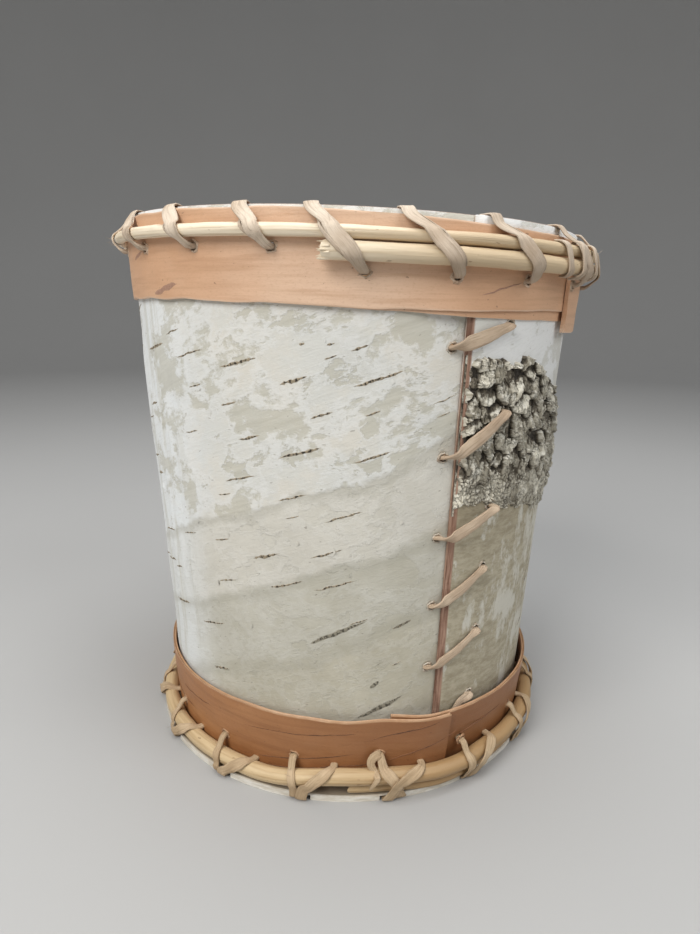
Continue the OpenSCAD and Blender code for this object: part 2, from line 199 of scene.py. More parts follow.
def layers(x, y, seed, count=3):
    """Sum of noise layers, each twice as fine and half as strong as the last."""
    return sum(grain(x * 2**k, y * 2**k, seed + k) / 2**k for k in range(count))


print(f"noise spread {np.std(layers(np.linspace(0, 90, 900), np.linspace(0, 40, 900), 1)):.2f}")

# %% [markdown]
# ## Making meshes
# Nearly every piece is a profile carried along a path: a ring of points repeated many times, joined
# by four-sided faces, with its ends closed. Small helpers join the rings, close the ends and repeat
# a shape, and one puts the arrays into a mesh. The volume of a closed shell is positive when its
# faces point outwards, so a negative one is turned round.


# %% Helpers that make faces
def circle(count):
    """Angles in radians, evenly spaced round a circle."""
    return np.linspace(0, 2 * np.pi, count, endpoint=False)


def ring_faces(n, m):
    """Faces that join n rings of m points each, and the row and column of each face's corners."""
    i, j = np.meshgrid(np.arange(n - 1), np.arange(m), indexing="ij")
    rows = np.stack([i, i, i + 1, i + 1], -1).reshape(-1, 4)
    cols = np.stack([j, j + 1, j + 1, j], -1).reshape(-1, 4)
    return rows * m + cols % m, rows, cols


def end_faces(n, m):
    """The two faces that close the first and the last of n rings of m points."""
    return np.stack([np.arange(m)[::-1], (n - 1) * m + np.arange(m)])


def copies(faces, count, size):
    """The same faces for each of several copies of a shape that has size points."""
    starts = (np.arange(count) * size)[:, None, None]
    return (faces[None] + starts).reshape(-1, faces.shape[1])


def shell_volume(points, faces):
    """Volume inside a closed shell: a sixth of the sum of triple products over each face's triangles."""
    p = points[faces]
    total = 0.0
    for k in range(1, faces.shape[1] - 1):
        total += np.einsum("ij,ij->", p[:, 0], np.cross(p[:, k], p[:, k + 1]))
    return total / 6


print(f"3 rings of 4 points: {len(ring_faces(3, 4)[0])} side faces, {len(end_faces(3, 4))} ends")


# %% Helpers that make a piece
def add_object(name, data):
    """A new object at the origin, in the scene."""
    thing = bpy.data.objects.new(name, data)
    bpy.context.scene.collection.objects.link(thing)
    return thing


def make_piece(name, points, groups, finish, uvs=None, marks=None, sharp=35, replaces=()):
    """Puts points in millimetres and groups of equal-sided faces into one mesh piece that rides on
    the basket. uvs holds one array of face corners for each group, and marks holds a value for each
    point."""
    flip = sum(shell_volume(points, g) for g in groups) < 0
    if flip:
        groups = [g[:, ::-1] for g in groups]
        uvs = [u[:, ::-1] for u in uvs] if uvs else None
    loops = np.concatenate([g.ravel() for g in groups])
    counts = np.concatenate([np.full(len(g), g.shape[1]) for g in groups])
    mesh = bpy.data.meshes.new(name)
    mesh.vertices.add(len(points))
    mesh.vertices.foreach_set("co", (points * mm).astype(np.float32).ravel())
    mesh.loops.add(len(loops))
    mesh.loops.foreach_set("vertex_index", loops.astype(np.int32))
    mesh.polygons.add(len(counts))
    mesh.polygons.foreach_set("loop_start", (np.cumsum(counts) - counts).astype(np.int32))
    mesh.update(calc_edges=True)
    if uvs:
        flat = np.concatenate([u.reshape(-1, 2) for u in uvs])
        mesh.uv_layers.new(name="along").data.foreach_set("uv", flat.astype(np.float32).ravel())
    for mark, values in (marks or {}).items():
        layer = mesh.attributes.new(mark, "FLOAT", "POINT")
        layer.data.foreach_set("value", values.astype(np.float32).ravel())
    mesh.materials.append(finish)
    mesh.shade_smooth()
    mesh.set_sharp_from_angle(angle=math.radians(sharp))
    piece = add_object(name, mesh)
    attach(piece, "root")
    if replaces:
        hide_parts(*replaces)
    print(f"{name}: {len(points)} points, {len(counts)} faces")
    return piece


def ring_piece(name, runs, finish, replaces=()):
    """One piece from runs of rings: each run has rings (n, m, 3), distances across (m + 1) and
    along (n)."""
    points, sides, caps, side_uv, cap_uv, start = [], [], [], [], [], 0
    for rings, across, along in runs:
        n, m = rings.shape[:2]
        faces, rows, cols = ring_faces(n, m)
        sides.append(faces + start)
        side_uv.append(np.stack([across[cols], along[rows]], -1))
        ends = end_faces(n, m)
        caps.append(ends + start)
        cap_uv.append(np.stack([across[ends % m], along[ends // m]], -1))
        points.append(rings.reshape(-1, 3))
        start += n * m
    groups = [np.concatenate(sides), np.concatenate(caps)]
    uvs = [np.concatenate(side_uv), np.concatenate(cap_uv)]
    return make_piece(name, np.concatenate(points), groups, finish, uvs, replaces=replaces)


# %% [markdown]
# ## Writing finishes
# A finish is a small graph of nodes. Helpers keep each graph readable: one adds a node and plugs in
# its inputs, a few blend colours and do sums, one turns a range of a value into a smooth step, and
# others give noise and the place that it is read at.


# %% Helpers that add nodes
def fill(tree, socket, value):
    """Links an output to a socket, or sets the socket's own value."""
    if isinstance(value, bpy.types.NodeSocket):
        tree.links.new(value, socket)
    else:
        socket.default_value = value


def put(tree, kind, out=0, settings=None, **inputs):
    """Adds a node, sets or links its inputs by name, and returns one of its outputs."""
    node = tree.nodes.new(kind)
    for key, value in (settings or {}).items():
        setattr(node, key, value)
    for key, value in inputs.items():
        fill(tree, node.inputs[key.replace("_", " ")], value)
    return node.outputs[out]


def blend(tree, share, first, second, way="MIX"):
    """A blend of two colours: the first where share is 0 and the second where it is 1."""
    node = tree.nodes.new("ShaderNodeMix")
    node.data_type = "RGBA"
    node.blend_type = way
    fill(tree, node.inputs[0], share)
    fill(tree, node.inputs[6], first if isinstance(first, bpy.types.NodeSocket) else (*first, 1))
    fill(tree, node.inputs[7], second if isinstance(second, bpy.types.NodeSocket) else (*second, 1))
    return node.outputs[2]


def sums(tree, way, first, second=0.0):
    """A sum, product or other operation on two numbers."""
    node = tree.nodes.new("ShaderNodeMath")
    node.operation = way
    fill(tree, node.inputs[0], first)
    fill(tree, node.inputs[1], second)
    return node.outputs[0]


def plus(tree, first, second):
    """The sum of two numbers."""
    return sums(tree, "ADD", first, second)


def minus(tree, first, second):
    """The first number less the second."""
    return sums(tree, "SUBTRACT", first, second)


def times(tree, first, second):
    """The product of two numbers."""
    return sums(tree, "MULTIPLY", first, second)


def tint(tree, colour, share, amount, other):
    """The colour, turned towards another one: by amount where share is 1, not at all where it is 0."""
    return blend(tree, times(tree, share, amount), colour, other)


def step(tree, value, low, high):
    """A smooth step: 0 where value is at low, 1 where it is at high."""
    smooth = {"interpolation_type": "SMOOTHSTEP"}
    return put(tree, "ShaderNodeMapRange", 0, smooth, Value=value, From_Min=low, From_Max=high)


def noise(tree, place, scale, detail=3.0, rough=0.55, bend=0.0):
    """Noise from 0 to 1 at a place."""
    return put(
        tree,
        "ShaderNodeTexNoise",
        Vector=place,
        Scale=scale,
        Detail=detail,
        Roughness=rough,
        Distortion=bend,
    )


print("sums that a finish can use: plus, minus, times, or any that the Math node has")


# %% Helpers that start and end a finish
def new_finish(name):
    """An empty finish: the material, its tree and its main shader node."""
    finish = bpy.data.materials.new(name)
    finish.use_nodes = True
    print("finish:", name)
    return finish, finish.node_tree, finish.node_tree.nodes["Principled BSDF"]


def along_surface(tree):
    """The place that follows the surface, from the piece's UV map in metres."""
    return put(tree, "ShaderNodeUVMap", settings={"uv_map": "along"})


def in_space(tree):
    """The place in the object's own coordinates, in metres."""
    return put(tree, "ShaderNodeTexCoord", 3)


def axes_of(tree, place):
    """The three numbers of a place."""
    node = tree.nodes.new("ShaderNodeSeparateXYZ")
    tree.links.new(place, node.inputs[0])
    return node.outputs


def stretch(tree, place, size, turned=0.0, move=(0, 0, 0)):
    """The place, turned in its plane, moved and stretched, so that a pattern can run in one direction."""
    turning = (0, 0, math.radians(turned))
    return put(tree, "ShaderNodeMapping", Vector=place, Location=move, Rotation=turning, Scale=size)


def mark_of(tree, name):
    """The value that a mesh attribute holds at each point."""
    return put(tree, "ShaderNodeAttribute", 2, {"attribute_name": name})


def dress(tree, shader, colour, roughness, height, depth=0.0004, strength=1.0, gloss=0.5):
    """Plugs a colour, a roughness and a bump of a given depth in metres into the shader."""
    bump = put(tree, "ShaderNodeBump", Height=height, Distance=depth, Strength=strength)
    fill(tree, shader.inputs["Base Color"], colour)
    fill(tree, shader.inputs["Roughness"], roughness)
    shader.inputs["Specular IOR Level"].default_value = gloss
    tree.links.new(bump, shader.inputs["Normal"])


# %% [markdown]
# ## Camera, floor and light
# The camera stands where the photographer stood: just over 29 cm from the basket's axis, a little
# below the rim, tipped 14 degrees down. Its axes are worked out from those angles. The floor is plain
# and pale, and three big soft lights stand in for a studio: one high at the left, one at the right
# and one overhead.


# %% Camera
def camera_axes(pitch, yaw, roll):
    """The camera's right, up and back directions from its three angles in degrees."""
    pitch, yaw, roll = np.radians([pitch, yaw, roll])
    ahead = np.array([np.sin(yaw) * np.cos(pitch), np.cos(yaw) * np.cos(pitch), -np.sin(pitch)])
    side = np.array([np.cos(yaw), -np.sin(yaw), 0])
    up = np.cross(side, ahead)
    return side * np.cos(roll) + up * np.sin(roll), up * np.cos(roll) - side * np.sin(roll), -ahead


def pose_of(axes, at):
    """A matrix whose columns are three directions and a place."""
    pose = Matrix.Identity(4)
    for column, axis in enumerate([*axes, at]):
        for row in range(3):
            pose[row][column] = axis[row]
    return pose


picture_h = 934
focal_px = 650
sensor = 36
camera_pitch = 14.04
camera_yaw = 0.12
camera_roll = 0.87
camera_at = (0.0, -0.295, 0.1821)
lens = bpy.data.cameras.new("photo_camera")
lens.sensor_fit = "AUTO"
lens.sensor_width = sensor
lens.lens = sensor * focal_px / picture_h
lens.clip_start = 0.01
camera = add_object("photo_camera", lens)
camera.matrix_world = pose_of(camera_axes(camera_pitch, camera_yaw, camera_roll), camera_at)
bpy.context.scene.camera = camera
print(f"lens {lens.lens:.1f} mm")

# %% Floor
floor_flat_r = 1.6
sweep_r = 0.9
floor_top = 2.2
floor_sides = 72
floor_finish, tree, shader = new_finish("studio_floor")
where = in_space(tree)
tone = blend(tree, noise(tree, where, 2.0), (0.40, 0.395, 0.385), (0.44, 0.435, 0.425))
dress(tree, shader, tone, 0.85, noise(tree, where, 400.0), 0.0001, 0.2)
sweep = np.linspace(0, np.pi / 2, 9)[1:]
flat_r = [0.02, 0.4, 1.0, floor_flat_r]
floor_r = np.concatenate([flat_r, floor_flat_r + sweep_r * np.sin(sweep), [floor_flat_r + sweep_r]])
floor_z = np.concatenate([np.zeros(len(flat_r)), sweep_r - sweep_r * np.cos(sweep), [floor_top]])
round_floor = np.linspace(0, 360, floor_sides, endpoint=False)[None]
floor_points = polar(round_floor, floor_r[:, None], floor_z[:, None]).reshape(-1, 3)
floor_faces = ring_faces(len(floor_r), floor_sides)[0][:, ::-1].tolist()
floor_mesh = bpy.data.meshes.new("studio_floor")
floor_mesh.from_pydata(floor_points.tolist(), [], [tuple(range(floor_sides)), *floor_faces])
floor_mesh.materials.append(floor_finish)
floor_mesh.shade_smooth()
floor = add_object("studio_floor", floor_mesh)
print(f"floor {2 * floor_flat_r:.1f} m across before it sweeps up")

# %% Lights
light_aim = np.array([0, 0, 0.11])


def soft_light(name, at, size, watts, shade):
    """A square light that looks at the middle of the basket."""
    lamp = bpy.data.lights.new(name, "AREA")
    lamp.size = size
    lamp.energy = watts
    lamp.color = shade
    back = np.array(at) - light_aim
    back = back / np.linalg.norm(back)
    side = np.cross([0, 0, 1], back)
    side = side / np.linalg.norm(side)
    light = add_object(name, lamp)
    light.matrix_world = pose_of([side, np.cross(back, side), back], at)
    print(f"{name}: {watts} W from {at}")


soft_light("key_light", (-0.62, -0.85, 0.95), 0.7, 14.0, (1.0, 0.985, 0.965))
soft_light("fill_light", (0.95, -0.65, 0.95), 0.9, 7.5, (0.96, 0.98, 1.0))
soft_light("top_light", (0.02, 0.0, 1.25), 0.8, 9.0, (0.97, 0.985, 1.0))
sky = bpy.data.worlds.new("studio_sky")
sky.use_nodes = True
glow = sky.node_tree.nodes["Background"]
glow.inputs["Color"].default_value = (0.80, 0.82, 0.85, 1)
glow.inputs["Strength"].default_value = 0.34
bpy.context.scene.world = sky
bpy.context.scene.view_settings.view_transform = "Standard"

# %% [markdown]
# ## White bark
# Birch bark is paper-white outside, with grey-khaki places where a layer has peeled away, and tan
# inside. The tree's rings run across the sheet at a slant, so the pattern is turned with them. Two
# marks on the mesh say where the inner face and the cut edges are. Everything else is noise on a UV
# map measured in metres.

# %% Finish of the white bark
bark_slant = 20.0


def white_bark_finish():
    """White bark: slanted zones of white and cream with a painted cool sheen at the left, peeled khaki
    patches with ragged edges and whiter paper round them that is partly a painted highlight, painted shadow
    lines below torn edges, fine streaks, specks, a tan inner face and brown cut edges."""
    finish, tree, shader = new_finish("birch_bark")
    place = along_surface(tree)
    arc, height = axes_of(tree, place)[:2]
    turned = stretch(tree, place, (1, 1, 1), -bark_slant)
    up = axes_of(tree, turned)[1]
    # Zones of the tree's layers, each with a wandering lower edge
    wander = times(tree, minus(tree, noise(tree, turned, 28.0, 5.0, 0.65), 0.5), 0.018)
    edge = sums(tree, "FLOORED_MODULO", plus(tree, up, wander), 0.24)
    upper = step(tree, edge, 0.1155, 0.1180)
    middle = step(tree, edge, 0.0860, 0.0905)
    lower = step(tree, edge, 0.0560, 0.0620)
    cloud = noise(tree, place, 34.0, 6.0, 0.68)
    cloudy = step(tree, cloud, 0.36, 0.66)
    cool = blend(tree, noise(tree, place, 15.0, 2.0), (0.74, 0.755, 0.75), (0.69, 0.71, 0.70))
    white = blend(tree, step(tree, cloud, 0.40, 0.62), cool, (0.75, 0.74, 0.70))
    white = blend(tree, step(tree, arc, -0.075, -0.040), white, (0.93, 0.905, 0.855), "MULTIPLY")
    cream = blend(tree, cloudy, (0.60, 0.575, 0.505), (0.67, 0.645, 0.575))
    pale = blend(tree, cloudy, (0.475, 0.452, 0.372), (0.555, 0.535, 0.46))
    dun = blend(tree, cloudy, (0.46, 0.428, 0.335), (0.535, 0.502, 0.405))
    colour = blend(tree, lower, dun, pale)
    colour = blend(tree, middle, colour, cream)
    colour = blend(tree, upper, colour, white)
    # Painted light: at the left, where the sheet bends away, all the zones are turned to a cool, bright
    # white that stands for the sheen there
    left = times(tree, step(tree, arc, -0.050, -0.080), step(tree, arc, -0.150, -0.125))
    colour = tint(tree, colour, left, 0.75, (0.80, 0.83, 0.835))
    # Peeled patches: noise with a rough edge above a level, most of them in the upper zone
    blocks = noise(tree, stretch(tree, turned, (1.0, 1.2, 1)), 33.0, 9.0, 0.66, 0.2)
    scraps = stretch(tree, turned, (0.8, 1.2, 1), 0, (0.4, 0.2, 0))
    scraps = noise(tree, scraps, 85.0, 8.0, 0.68, 0.2)
    high = sums(tree, "MAXIMUM", blocks, minus(tree, scraps, 0.045))
    peeled = step(tree, high, 0.518, 0.566)
    # Whiter paper round each patch: partly the fresh white layer, partly a painted highlight on its lifted
    # edge
    paper_and_highlight = times(tree, step(tree, high, 0.465, 0.515), minus(tree, 1.0, peeled))
    paper_share = plus(tree, 0.12, times(tree, upper, 0.30))
    colour = tint(tree, colour, paper_and_highlight, paper_share, (0.78, 0.785, 0.77))
    peeled_share = plus(tree, 0.12, times(tree, upper, 0.54))
    lines = noise(tree, stretch(tree, turned, (0.25, 3.2, 1)), 150.0, 4.0, 0.65)
    khaki = blend(tree, step(tree, lines, 0.3, 0.7), (0.45, 0.43, 0.345), (0.56, 0.54, 0.455))
    colour = tint(tree, colour, peeled, peeled_share, khaki)
    # Upright khaki streaks at the left
    upright = noise(tree, stretch(tree, place, (2.2, 0.20, 1)), 70.0, 6.0, 0.65)
    upright = times(tree, step(tree, upright, 0.50, 0.60), left)
    colour = tint(tree, colour, upright, 0.38, khaki)
    # Below each torn edge of a layer lies a thin shadow line
    torn = minus(tree, step(tree, edge, 0.1120, 0.1155), upper)
    torn = plus(tree, torn, minus(tree, step(tree, edge, 0.0825, 0.0865), middle))
    torn = plus(tree, torn, minus(tree, step(tree, edge, 0.0520, 0.0565), lower))
    colour = tint(tree, colour, torn, 0.40, (0.40, 0.385, 0.32))
    # The lap's outer end is weathered: grey-olive, with white scuffs towards the right, clean on top
    lap_end = step(tree, arc, -0.413, -0.438)
    scuffs = noise(tree, stretch(tree, place, (1.3, 0.6, 1)), 60.0, 8.0, 0.7, 0.2)
    far = times(tree, step(tree, arc, -0.490, -0.440), 0.10)
    hatch = noise(tree, stretch(tree, place, (0.7, 1.6, 1)), 240.0, 6.0, 0.72)
    olive = blend(tree, step(tree, hatch, 0.36, 0.64), (0.34, 0.295, 0.205), (0.475, 0.425, 0.315))
    olive = blend(tree, step(tree, height, 0.085, 0.120), olive, (0.86, 0.83, 0.78), "MULTIPLY")
    bare = step(tree, plus(tree, scuffs, far), 0.54, 0.63)
    flap = blend(tree, bare, olive, (0.60, 0.575, 0.495))
    colour = tint(tree, colour, lap_end, step(tree, height, 0.150, 0.112), flap)
    clean = blend(tree, peeled, (0.80, 0.80, 0.78), (0.66, 0.65, 0.60))
    colour = tint(tree, colour, lap_end, step(tree, height, 0.140, 0.160), clean)
    # Fine streaks, grit, smudges and specks
    fine = noise(tree, stretch(tree, turned, (0.35, 2.6, 1)), 420.0, 3.0, 0.6)
    colour = tint(tree, colour, step(tree, fine, 0.50, 0.75), 0.22, (0.47, 0.45, 0.39))
    grit = noise(tree, stretch(tree, turned, (0.6, 1.4, 1)), 1100.0, 3.0, 0.75)
    colour = tint(tree, colour, step(tree, grit, 0.52, 0.80), 0.28, (0.42, 0.40, 0.34))
    smudge = noise(tree, place, 24.0, 6.0, 0.7)
    colour = tint(tree, colour, step(tree, smudge, 0.56, 0.74), 0.22, (0.42, 0.405, 0.345))
    specks = noise(tree, stretch(tree, turned, (0.6, 1.3, 1)), 620.0, 1.0)
    colour = tint(tree, colour, step(tree, specks, 0.735, 0.77), 0.5, (0.20, 0.17, 0.13))
    # The inner face and the cut edges
    veins = noise(tree, stretch(tree, turned, (0.12, 2.0, 1)), 210.0, 4.0, 0.6)
    tan = blend(tree, veins, (0.36, 0.205, 0.105), (0.55, 0.35, 0.20))
    dashes = noise(tree, stretch(tree, turned, (0.16, 2.4, 1), 0, (0.3, 0.1, 0)), 150.0, 1.0)
    tan = tint(tree, tan, step(tree, dashes, 0.70, 0.74), 0.6, (0.22, 0.11, 0.055))
    colour = blend(tree, mark_of(tree, "inner"), colour, tan)
    fibres = noise(tree, stretch(tree, place, (3.0, 0.12, 1)), 500.0, 4.0, 0.65)
    cut = blend(tree, step(tree, fibres, 0.3, 0.7), (0.15, 0.072, 0.045), (0.40, 0.255, 0.185))
    colour = blend(tree, mark_of(tree, "cut"), colour, cut)
    # Relief: peeled places lie low, paper and the zones' layers lie high
    bumps = noise(tree, place, 90.0, 6.0, 0.6)
    relief = minus(tree, times(tree, fine, 0.25), times(tree, peeled, 0.14))
    raised = [(paper_and_highlight, 0.10), (grit, 0.22), (upper, 0.45), (middle, 0.35), (lower, 0.35), (bumps, 0.9)]
    for layer, share in raised:
        relief = plus(tree, relief, times(tree, layer, share))
    dress(tree, shader, colour, 0.66, relief, gloss=0.3)
    return finish


white_bark = white_bark_finish()

# %% [markdown]
# ## The wall
# The wall is a sheet bent round the basket, lapped on itself. Its outline in section is one closed
# ring: up the outer face, over the top edge, down the inner face and back. That ring is carried round
# by the angle. The outer end is pared thin, as a maker does with a knife, which is the brown strip
# beside the lacing.

# %% Sheets of bark
edge_across = np.array([0.86, 0.62, 0.5, 0.38, 0.14])[None]
edge_dip = np.array([0.0, 0.25, 1.0, 0.25, 0.0])[None]
edge_corner = 0.25
sheet_r = 85.0


def sheet_rings(angles, low, high, inner, thickness, rows, back_rows, split=0.0, swell=None, worn=0.0):
    """Rings of a bent sheet. Each goes up the outer face, across the top edge, down the inner face and
    across the bottom edge. Returns the points, their heights, and marks for the inner face and the cut
    edges. split sinks the middle of each edge, where the bark's layers part. swell adds to the outer
    face. worn marks the face's own edges as cut."""
    a = angles[:, None]
    lo, hi = low(a), high(a)
    tall = hi - lo - 2 * edge_corner
    front = np.concatenate([[0], np.linspace(0.016, 0.984, rows - 2), [1]])[None]
    back = np.linspace(1, 0, back_rows)[None]
    z_front = lo + edge_corner + tall * front
    z_back = lo + edge_corner + tall * back
    thick = np.broadcast_to(np.asarray(thickness, float), angles.shape)[:, None]
    r = np.concatenate([
        inner(a, z_front) + thick + (swell(a, z_front) if swell else 0.0),
        inner(a, hi) + thick * edge_across,
        inner(a, z_back),
        inner(a, lo) + thick * edge_across[:, ::-1],
    ], axis=1)
    z = np.concatenate([z_front, hi - edge_dip * split, z_back, lo + edge_dip * split], axis=1)
    edge_points = edge_across.shape[1]
    side = np.repeat([0, 1, 2, 3], [rows, edge_points, back_rows, edge_points])
    inner_mark = np.tile(side == 2, (len(angles), 1)).astype(float)
    cut_mark = np.tile(side % 2, (len(angles), 1)).astype(float)
    cut_mark[:, [0, rows - 1]] = worn
    return polar(a, r, z), z, inner_mark, cut_mark


def sheet_piece(name, angles, parts, finish, replaces=()):
    """One sheet as a piece. Its UV map is the way round and the height, in metres."""
    points, z, inner_mark, cut_mark = parts
    n, m = z.shape
    way = np.broadcast_to(np.radians(angles)[:, None] * sheet_r, z.shape)
    uv = np.stack([way, z], -1).reshape(-1, 2) * mm
    groups = [ring_faces(n, m)[0], end_faces(n, m)]
    uvs = [uv[g] for g in groups]
    marks = {"inner": inner_mark, "cut": cut_mark}
    return make_piece(name, points.reshape(-1, 3), groups, finish, uvs, marks, 50, replaces)


print(f"a sheet's edge has {edge_across.size} points across")

# %% Awl holes through a sheet
awl_sides = 14
awl_reach = 9.0


def punch(piece, holes, radius):
    """Cuts round awl holes through a sheet. holes is rows of angle and height. The cutters are one
    mesh of short rods whose sides wander, and a Boolean takes them away."""
    a, z = holes[:, 0][:, None, None], holes[:, 1][:, None, None]
    s = circle(awl_sides)[None, None]
    wide = radius * (1 + 0.12 * grain(a * 7 + np.cos(s), z + np.sin(s), 41))
    r = wall_r(z) + np.array([-awl_reach, awl_reach])[None, :, None]
    points = polar(a + np.degrees(wide * np.cos(s) / r), r, z + wide * np.sin(s)).reshape(-1, 3)
    sides = copies(ring_faces(2, awl_sides)[0], len(holes), 2 * awl_sides)
    ends = copies(end_faces(2, awl_sides), len(holes), 2 * awl_sides)
    marks = {"cut": np.ones(len(points)), "inner": np.zeros(len(points))}
    bark = piece.data.materials[0]
    awl = make_piece("awl", points, [sides, ends], bark, None, marks)
    cutter = piece.modifiers.new("holes", "BOOLEAN")
    cutter.operation = "DIFFERENCE"
    cutter.solver = "EXACT"
    cutter.object = awl
    bpy.context.view_layer.update()
    shaped = piece.evaluated_get(bpy.context.evaluated_depsgraph_get())
    mesh = bpy.data.meshes.new_from_object(shaped)
    piece.modifiers.clear()
    piece.data = mesh
    bpy.data.objects.remove(awl)
    print(f"{piece.name}: {len(holes)} holes, {len(mesh.polygons)} faces")


# %% The rolled wall
pared = 1.6
pared_rows = 6
pared_top = 203
calm_low = 34
calm_high = 176
calm_fade = 20


def wall_waves(a, z):
    """Slow waves in the rolled sheet, about half a millimetre high, and fine upright ripples at the
    left. They fade out under the bands and at the lap."""
    calm = ease((z - calm_low) / calm_fade) * ease((calm_high - z) / calm_fade)
    calm = calm * (1 - hump(a, seam_at - 12, wall_lap + 56, 14, 14))
    ripples = 0.25 * grain(a / 2.6, z / 90, 12) * ease((-a - 36) / 12)
    return calm * (0.45 * layers(a / 17, z / 45, 11, 2) + ripples * hump(a, -75, 35, 12, 8))


def wall_inner(a, z):
    """Inner radius of the rolled sheet: the cone, lifted over the lap, with the sheet's waves."""
    return wall_in(z) + wall_lift(a) + wall_waves(turn(a), z)


wall_angles = np.concatenate([
    seam_at + np.linspace(0, pared, pared_rows),
    np.linspace(seam_at + pared, seam_at + 360 + wall_lap, 480)[1:],
])
wall_parts = sheet_rings(
    wall_angles,
    low=lambda a: disc_t + 0 * a,
    high=rim_z,
    inner=wall_inner,
    thickness=wall_t * (0.35 + 0.65 * ease((wall_angles - seam_at) / pared)),
    rows=130,
    back_rows=34,
    split=0.35,
)
# The pared end is marked as cut, up to the band
wall_parts[3][:pared_rows - 1] = wall_parts[1][:pared_rows - 1] < pared_top
wall = sheet_piece("bark_wall", wall_angles - 360, wall_parts, white_bark, ("wall",))

# %% [markdown]
# ## Marks in the bark
# Lenticels are the dark dashes that a birch breathes through. Each one is a thin raised spindle,
# beaded along its length, that follows the slant of the tree's rings. The front ones are placed from
# the photograph as rows of angle, height, length and half width. The rest are scattered over the
# back with a fixed seed.


# %% Finish of the dark marks
def mark_finish(name, dark, mid, pale):
    """A corky mark: dark dots in a brown line that fades to a pale edge, with a crumbly bump."""
    finish, tree, shader = new_finish(name)
    place = along_surface(tree)
    crumbs = noise(tree, place, 1300.0, 3.0, 0.7)
    dots = noise(tree, stretch(tree, place, (1.0, 0.35, 1)), 760.0, 2.0, 0.6)
    core = plus(tree, mark_of(tree, "core"), times(tree, minus(tree, crumbs, 0.5), 0.8))
    colour = blend(tree, step(tree, core, 0.12, 0.60), pale, mid)
    deep = step(tree, core, 0.34, 0.60)
    colour = tint(tree, colour, deep, step(tree, dots, 0.47, 0.56), dark)
    dress(tree, shader, colour, 0.85, crumbs)
    return finish


lenticel_finish = mark_finish(
    "lenticel",
    dark=(0.032, 0.025, 0.018),
    mid=(0.33, 0.27, 0.185),
    pale=(0.60, 0.57, 0.49),
)
broad_finish = mark_finish(
    "broad_lenticel",
    dark=(0.085, 0.075, 0.055),
    mid=(0.27, 0.245, 0.185),
    pale=(0.46, 0.44, 0.365),
)

# %% Spindles on a surface
skin_r = 86
spindle_across = np.array([-1, -0.6, 0, 0.6, 1])
spindle_rings = 19


def spindles(name, rows, surface, finish, bead=2.4, seed=5, ragged=0.5):
    """Raised spindles on a surface. A row is angle, height, length, half width and slant. Along its
    length a spindle's width is a rounded bow times a row of beads; across, it is a low crown whose
    edges sink in."""
    a0, z0, length, half, slant = [column[:, None, None] for column in np.array(rows, float).T]
    t = np.linspace(-1, 1, spindle_rings)[None, :, None]
    s = spindle_across[None, None, :]
    start = np.random.default_rng(seed).uniform(0, 9, a0.shape)
    bow = (1 - t**2) ** 0.6
    beads = 0.45 + 0.55 * np.abs(np.sin(np.pi * (t * length / 2 / bead + start)))
    wide = half * bow * beads * (1 + ragged * grain(t * length / 1.5 + start * 7, start, seed))
    x = t * length / 2
    y = s * wide + 0.25 * grain(t * length / 5 + start, start, seed + 1)
    tilt = np.radians(slant)
    z = z0 + x * np.sin(tilt) + y * np.cos(tilt)
    a = a0 + np.degrees((x * np.cos(tilt) - y * np.sin(tilt)) / skin_r)
    lift = -0.12 + 0.30 * (1 - s**2) * bow
    points = polar(a, surface(a, z) + lift, z)
    faces, _, cols = ring_faces(spindle_rings, s.size)
    faces = copies(faces[cols.max(axis=1) < s.size], len(a0), spindle_rings * s.size)
    uv = np.stack(np.broadcast_arrays(x + start * 40, y), -1).reshape(-1, 2) * mm
    core = {"core": np.broadcast_to((1 - np.abs(s)) * bow, z.shape)}
    return make_piece(name, points.reshape(-1, 3), [faces], finish, [uv[faces]], core, 60)


def outer_skin(a, z):
    """Radius of the wall's outermost face: the sheet is followed from its outer end round to the
    same angle."""
    along = seam_at + (a - seam_at) % 360
    return wall_inner(along, z) + wall_t


def ring_slant(a, z):
    """Slant of the tree's rings: steeper towards the right and low down."""
    low_right = ease((80 - z) / 50) * ease((turn(a) + 30) / 30)
    return 18.0 + 0.09 * np.clip(turn(a), -60, 60) + 5 * low_right


print(f"slant at the front, half way up: {float(ring_slant(0.0, 105.0)):.0f} degrees")

# %% Lenticels
mark_widen = 1.45
back_count = 170
front_marks = [
    (-45, 172, 10, 0.30), (-39, 165, 17, 0.36), (-25, 163, 17, 0.62), (-38, 154, 8, 0.34),
    (-28, 149, 8, 0.42), (-41, 137, 9, 0.32), (-23, 138, 10, 0.62), (-26, 123, 16, 0.42),
    (-31, 116, 7, 0.32), (-11, 134, 18, 0.66), (-12, 158, 11, 0.62), (-4, 166, 5, 0.45),
    (2, 169, 7, 0.45), (-4, 170, 3, 0.40), (6, 159, 19, 0.60), (-6, 147, 9, 0.42),
    (5, 148, 6, 0.45), (5, 133, 15, 0.52), (21, 152, 10, 0.24), (21, 147, 6, 0.24),
    (-13, 118, 12, 0.40), (-13, 111, 6, 0.35), (-46, 96, 11, 0.28), (-33, 98, 9, 0.38),
    (-20, 95, 13, 0.70), (-32, 82, 11, 0.32), (-15, 85, 15, 0.62), (-39, 61, 17, 0.48),
    (-37, 42, 11, 0.55), (-1, 112, 16, 0.42), (-5, 98, 14, 0.42), (-3, 86, 18, 0.45),
    (3, 72, 9, 0.35), (14, 70, 9, 0.62), (13, 54, 5, 0.30), (-10, 170, 2, 0.6),
]
scatter = np.random.default_rng(23)
back_marks = np.stack([
    scatter.uniform(58, 306, back_count),
    scatter.uniform(36, 180, back_count),
    scatter.uniform(4, 19, back_count),
    scatter.uniform(0.26, 0.7, back_count),
], 1)
all_marks = np.concatenate([np.array(front_marks, float), back_marks])
all_marks[:, 3] *= mark_widen
all_marks = np.column_stack([all_marks, ring_slant(all_marks[:, 0], all_marks[:, 1])])
spindles("lenticels", all_marks, outer_skin, lenticel_finish)

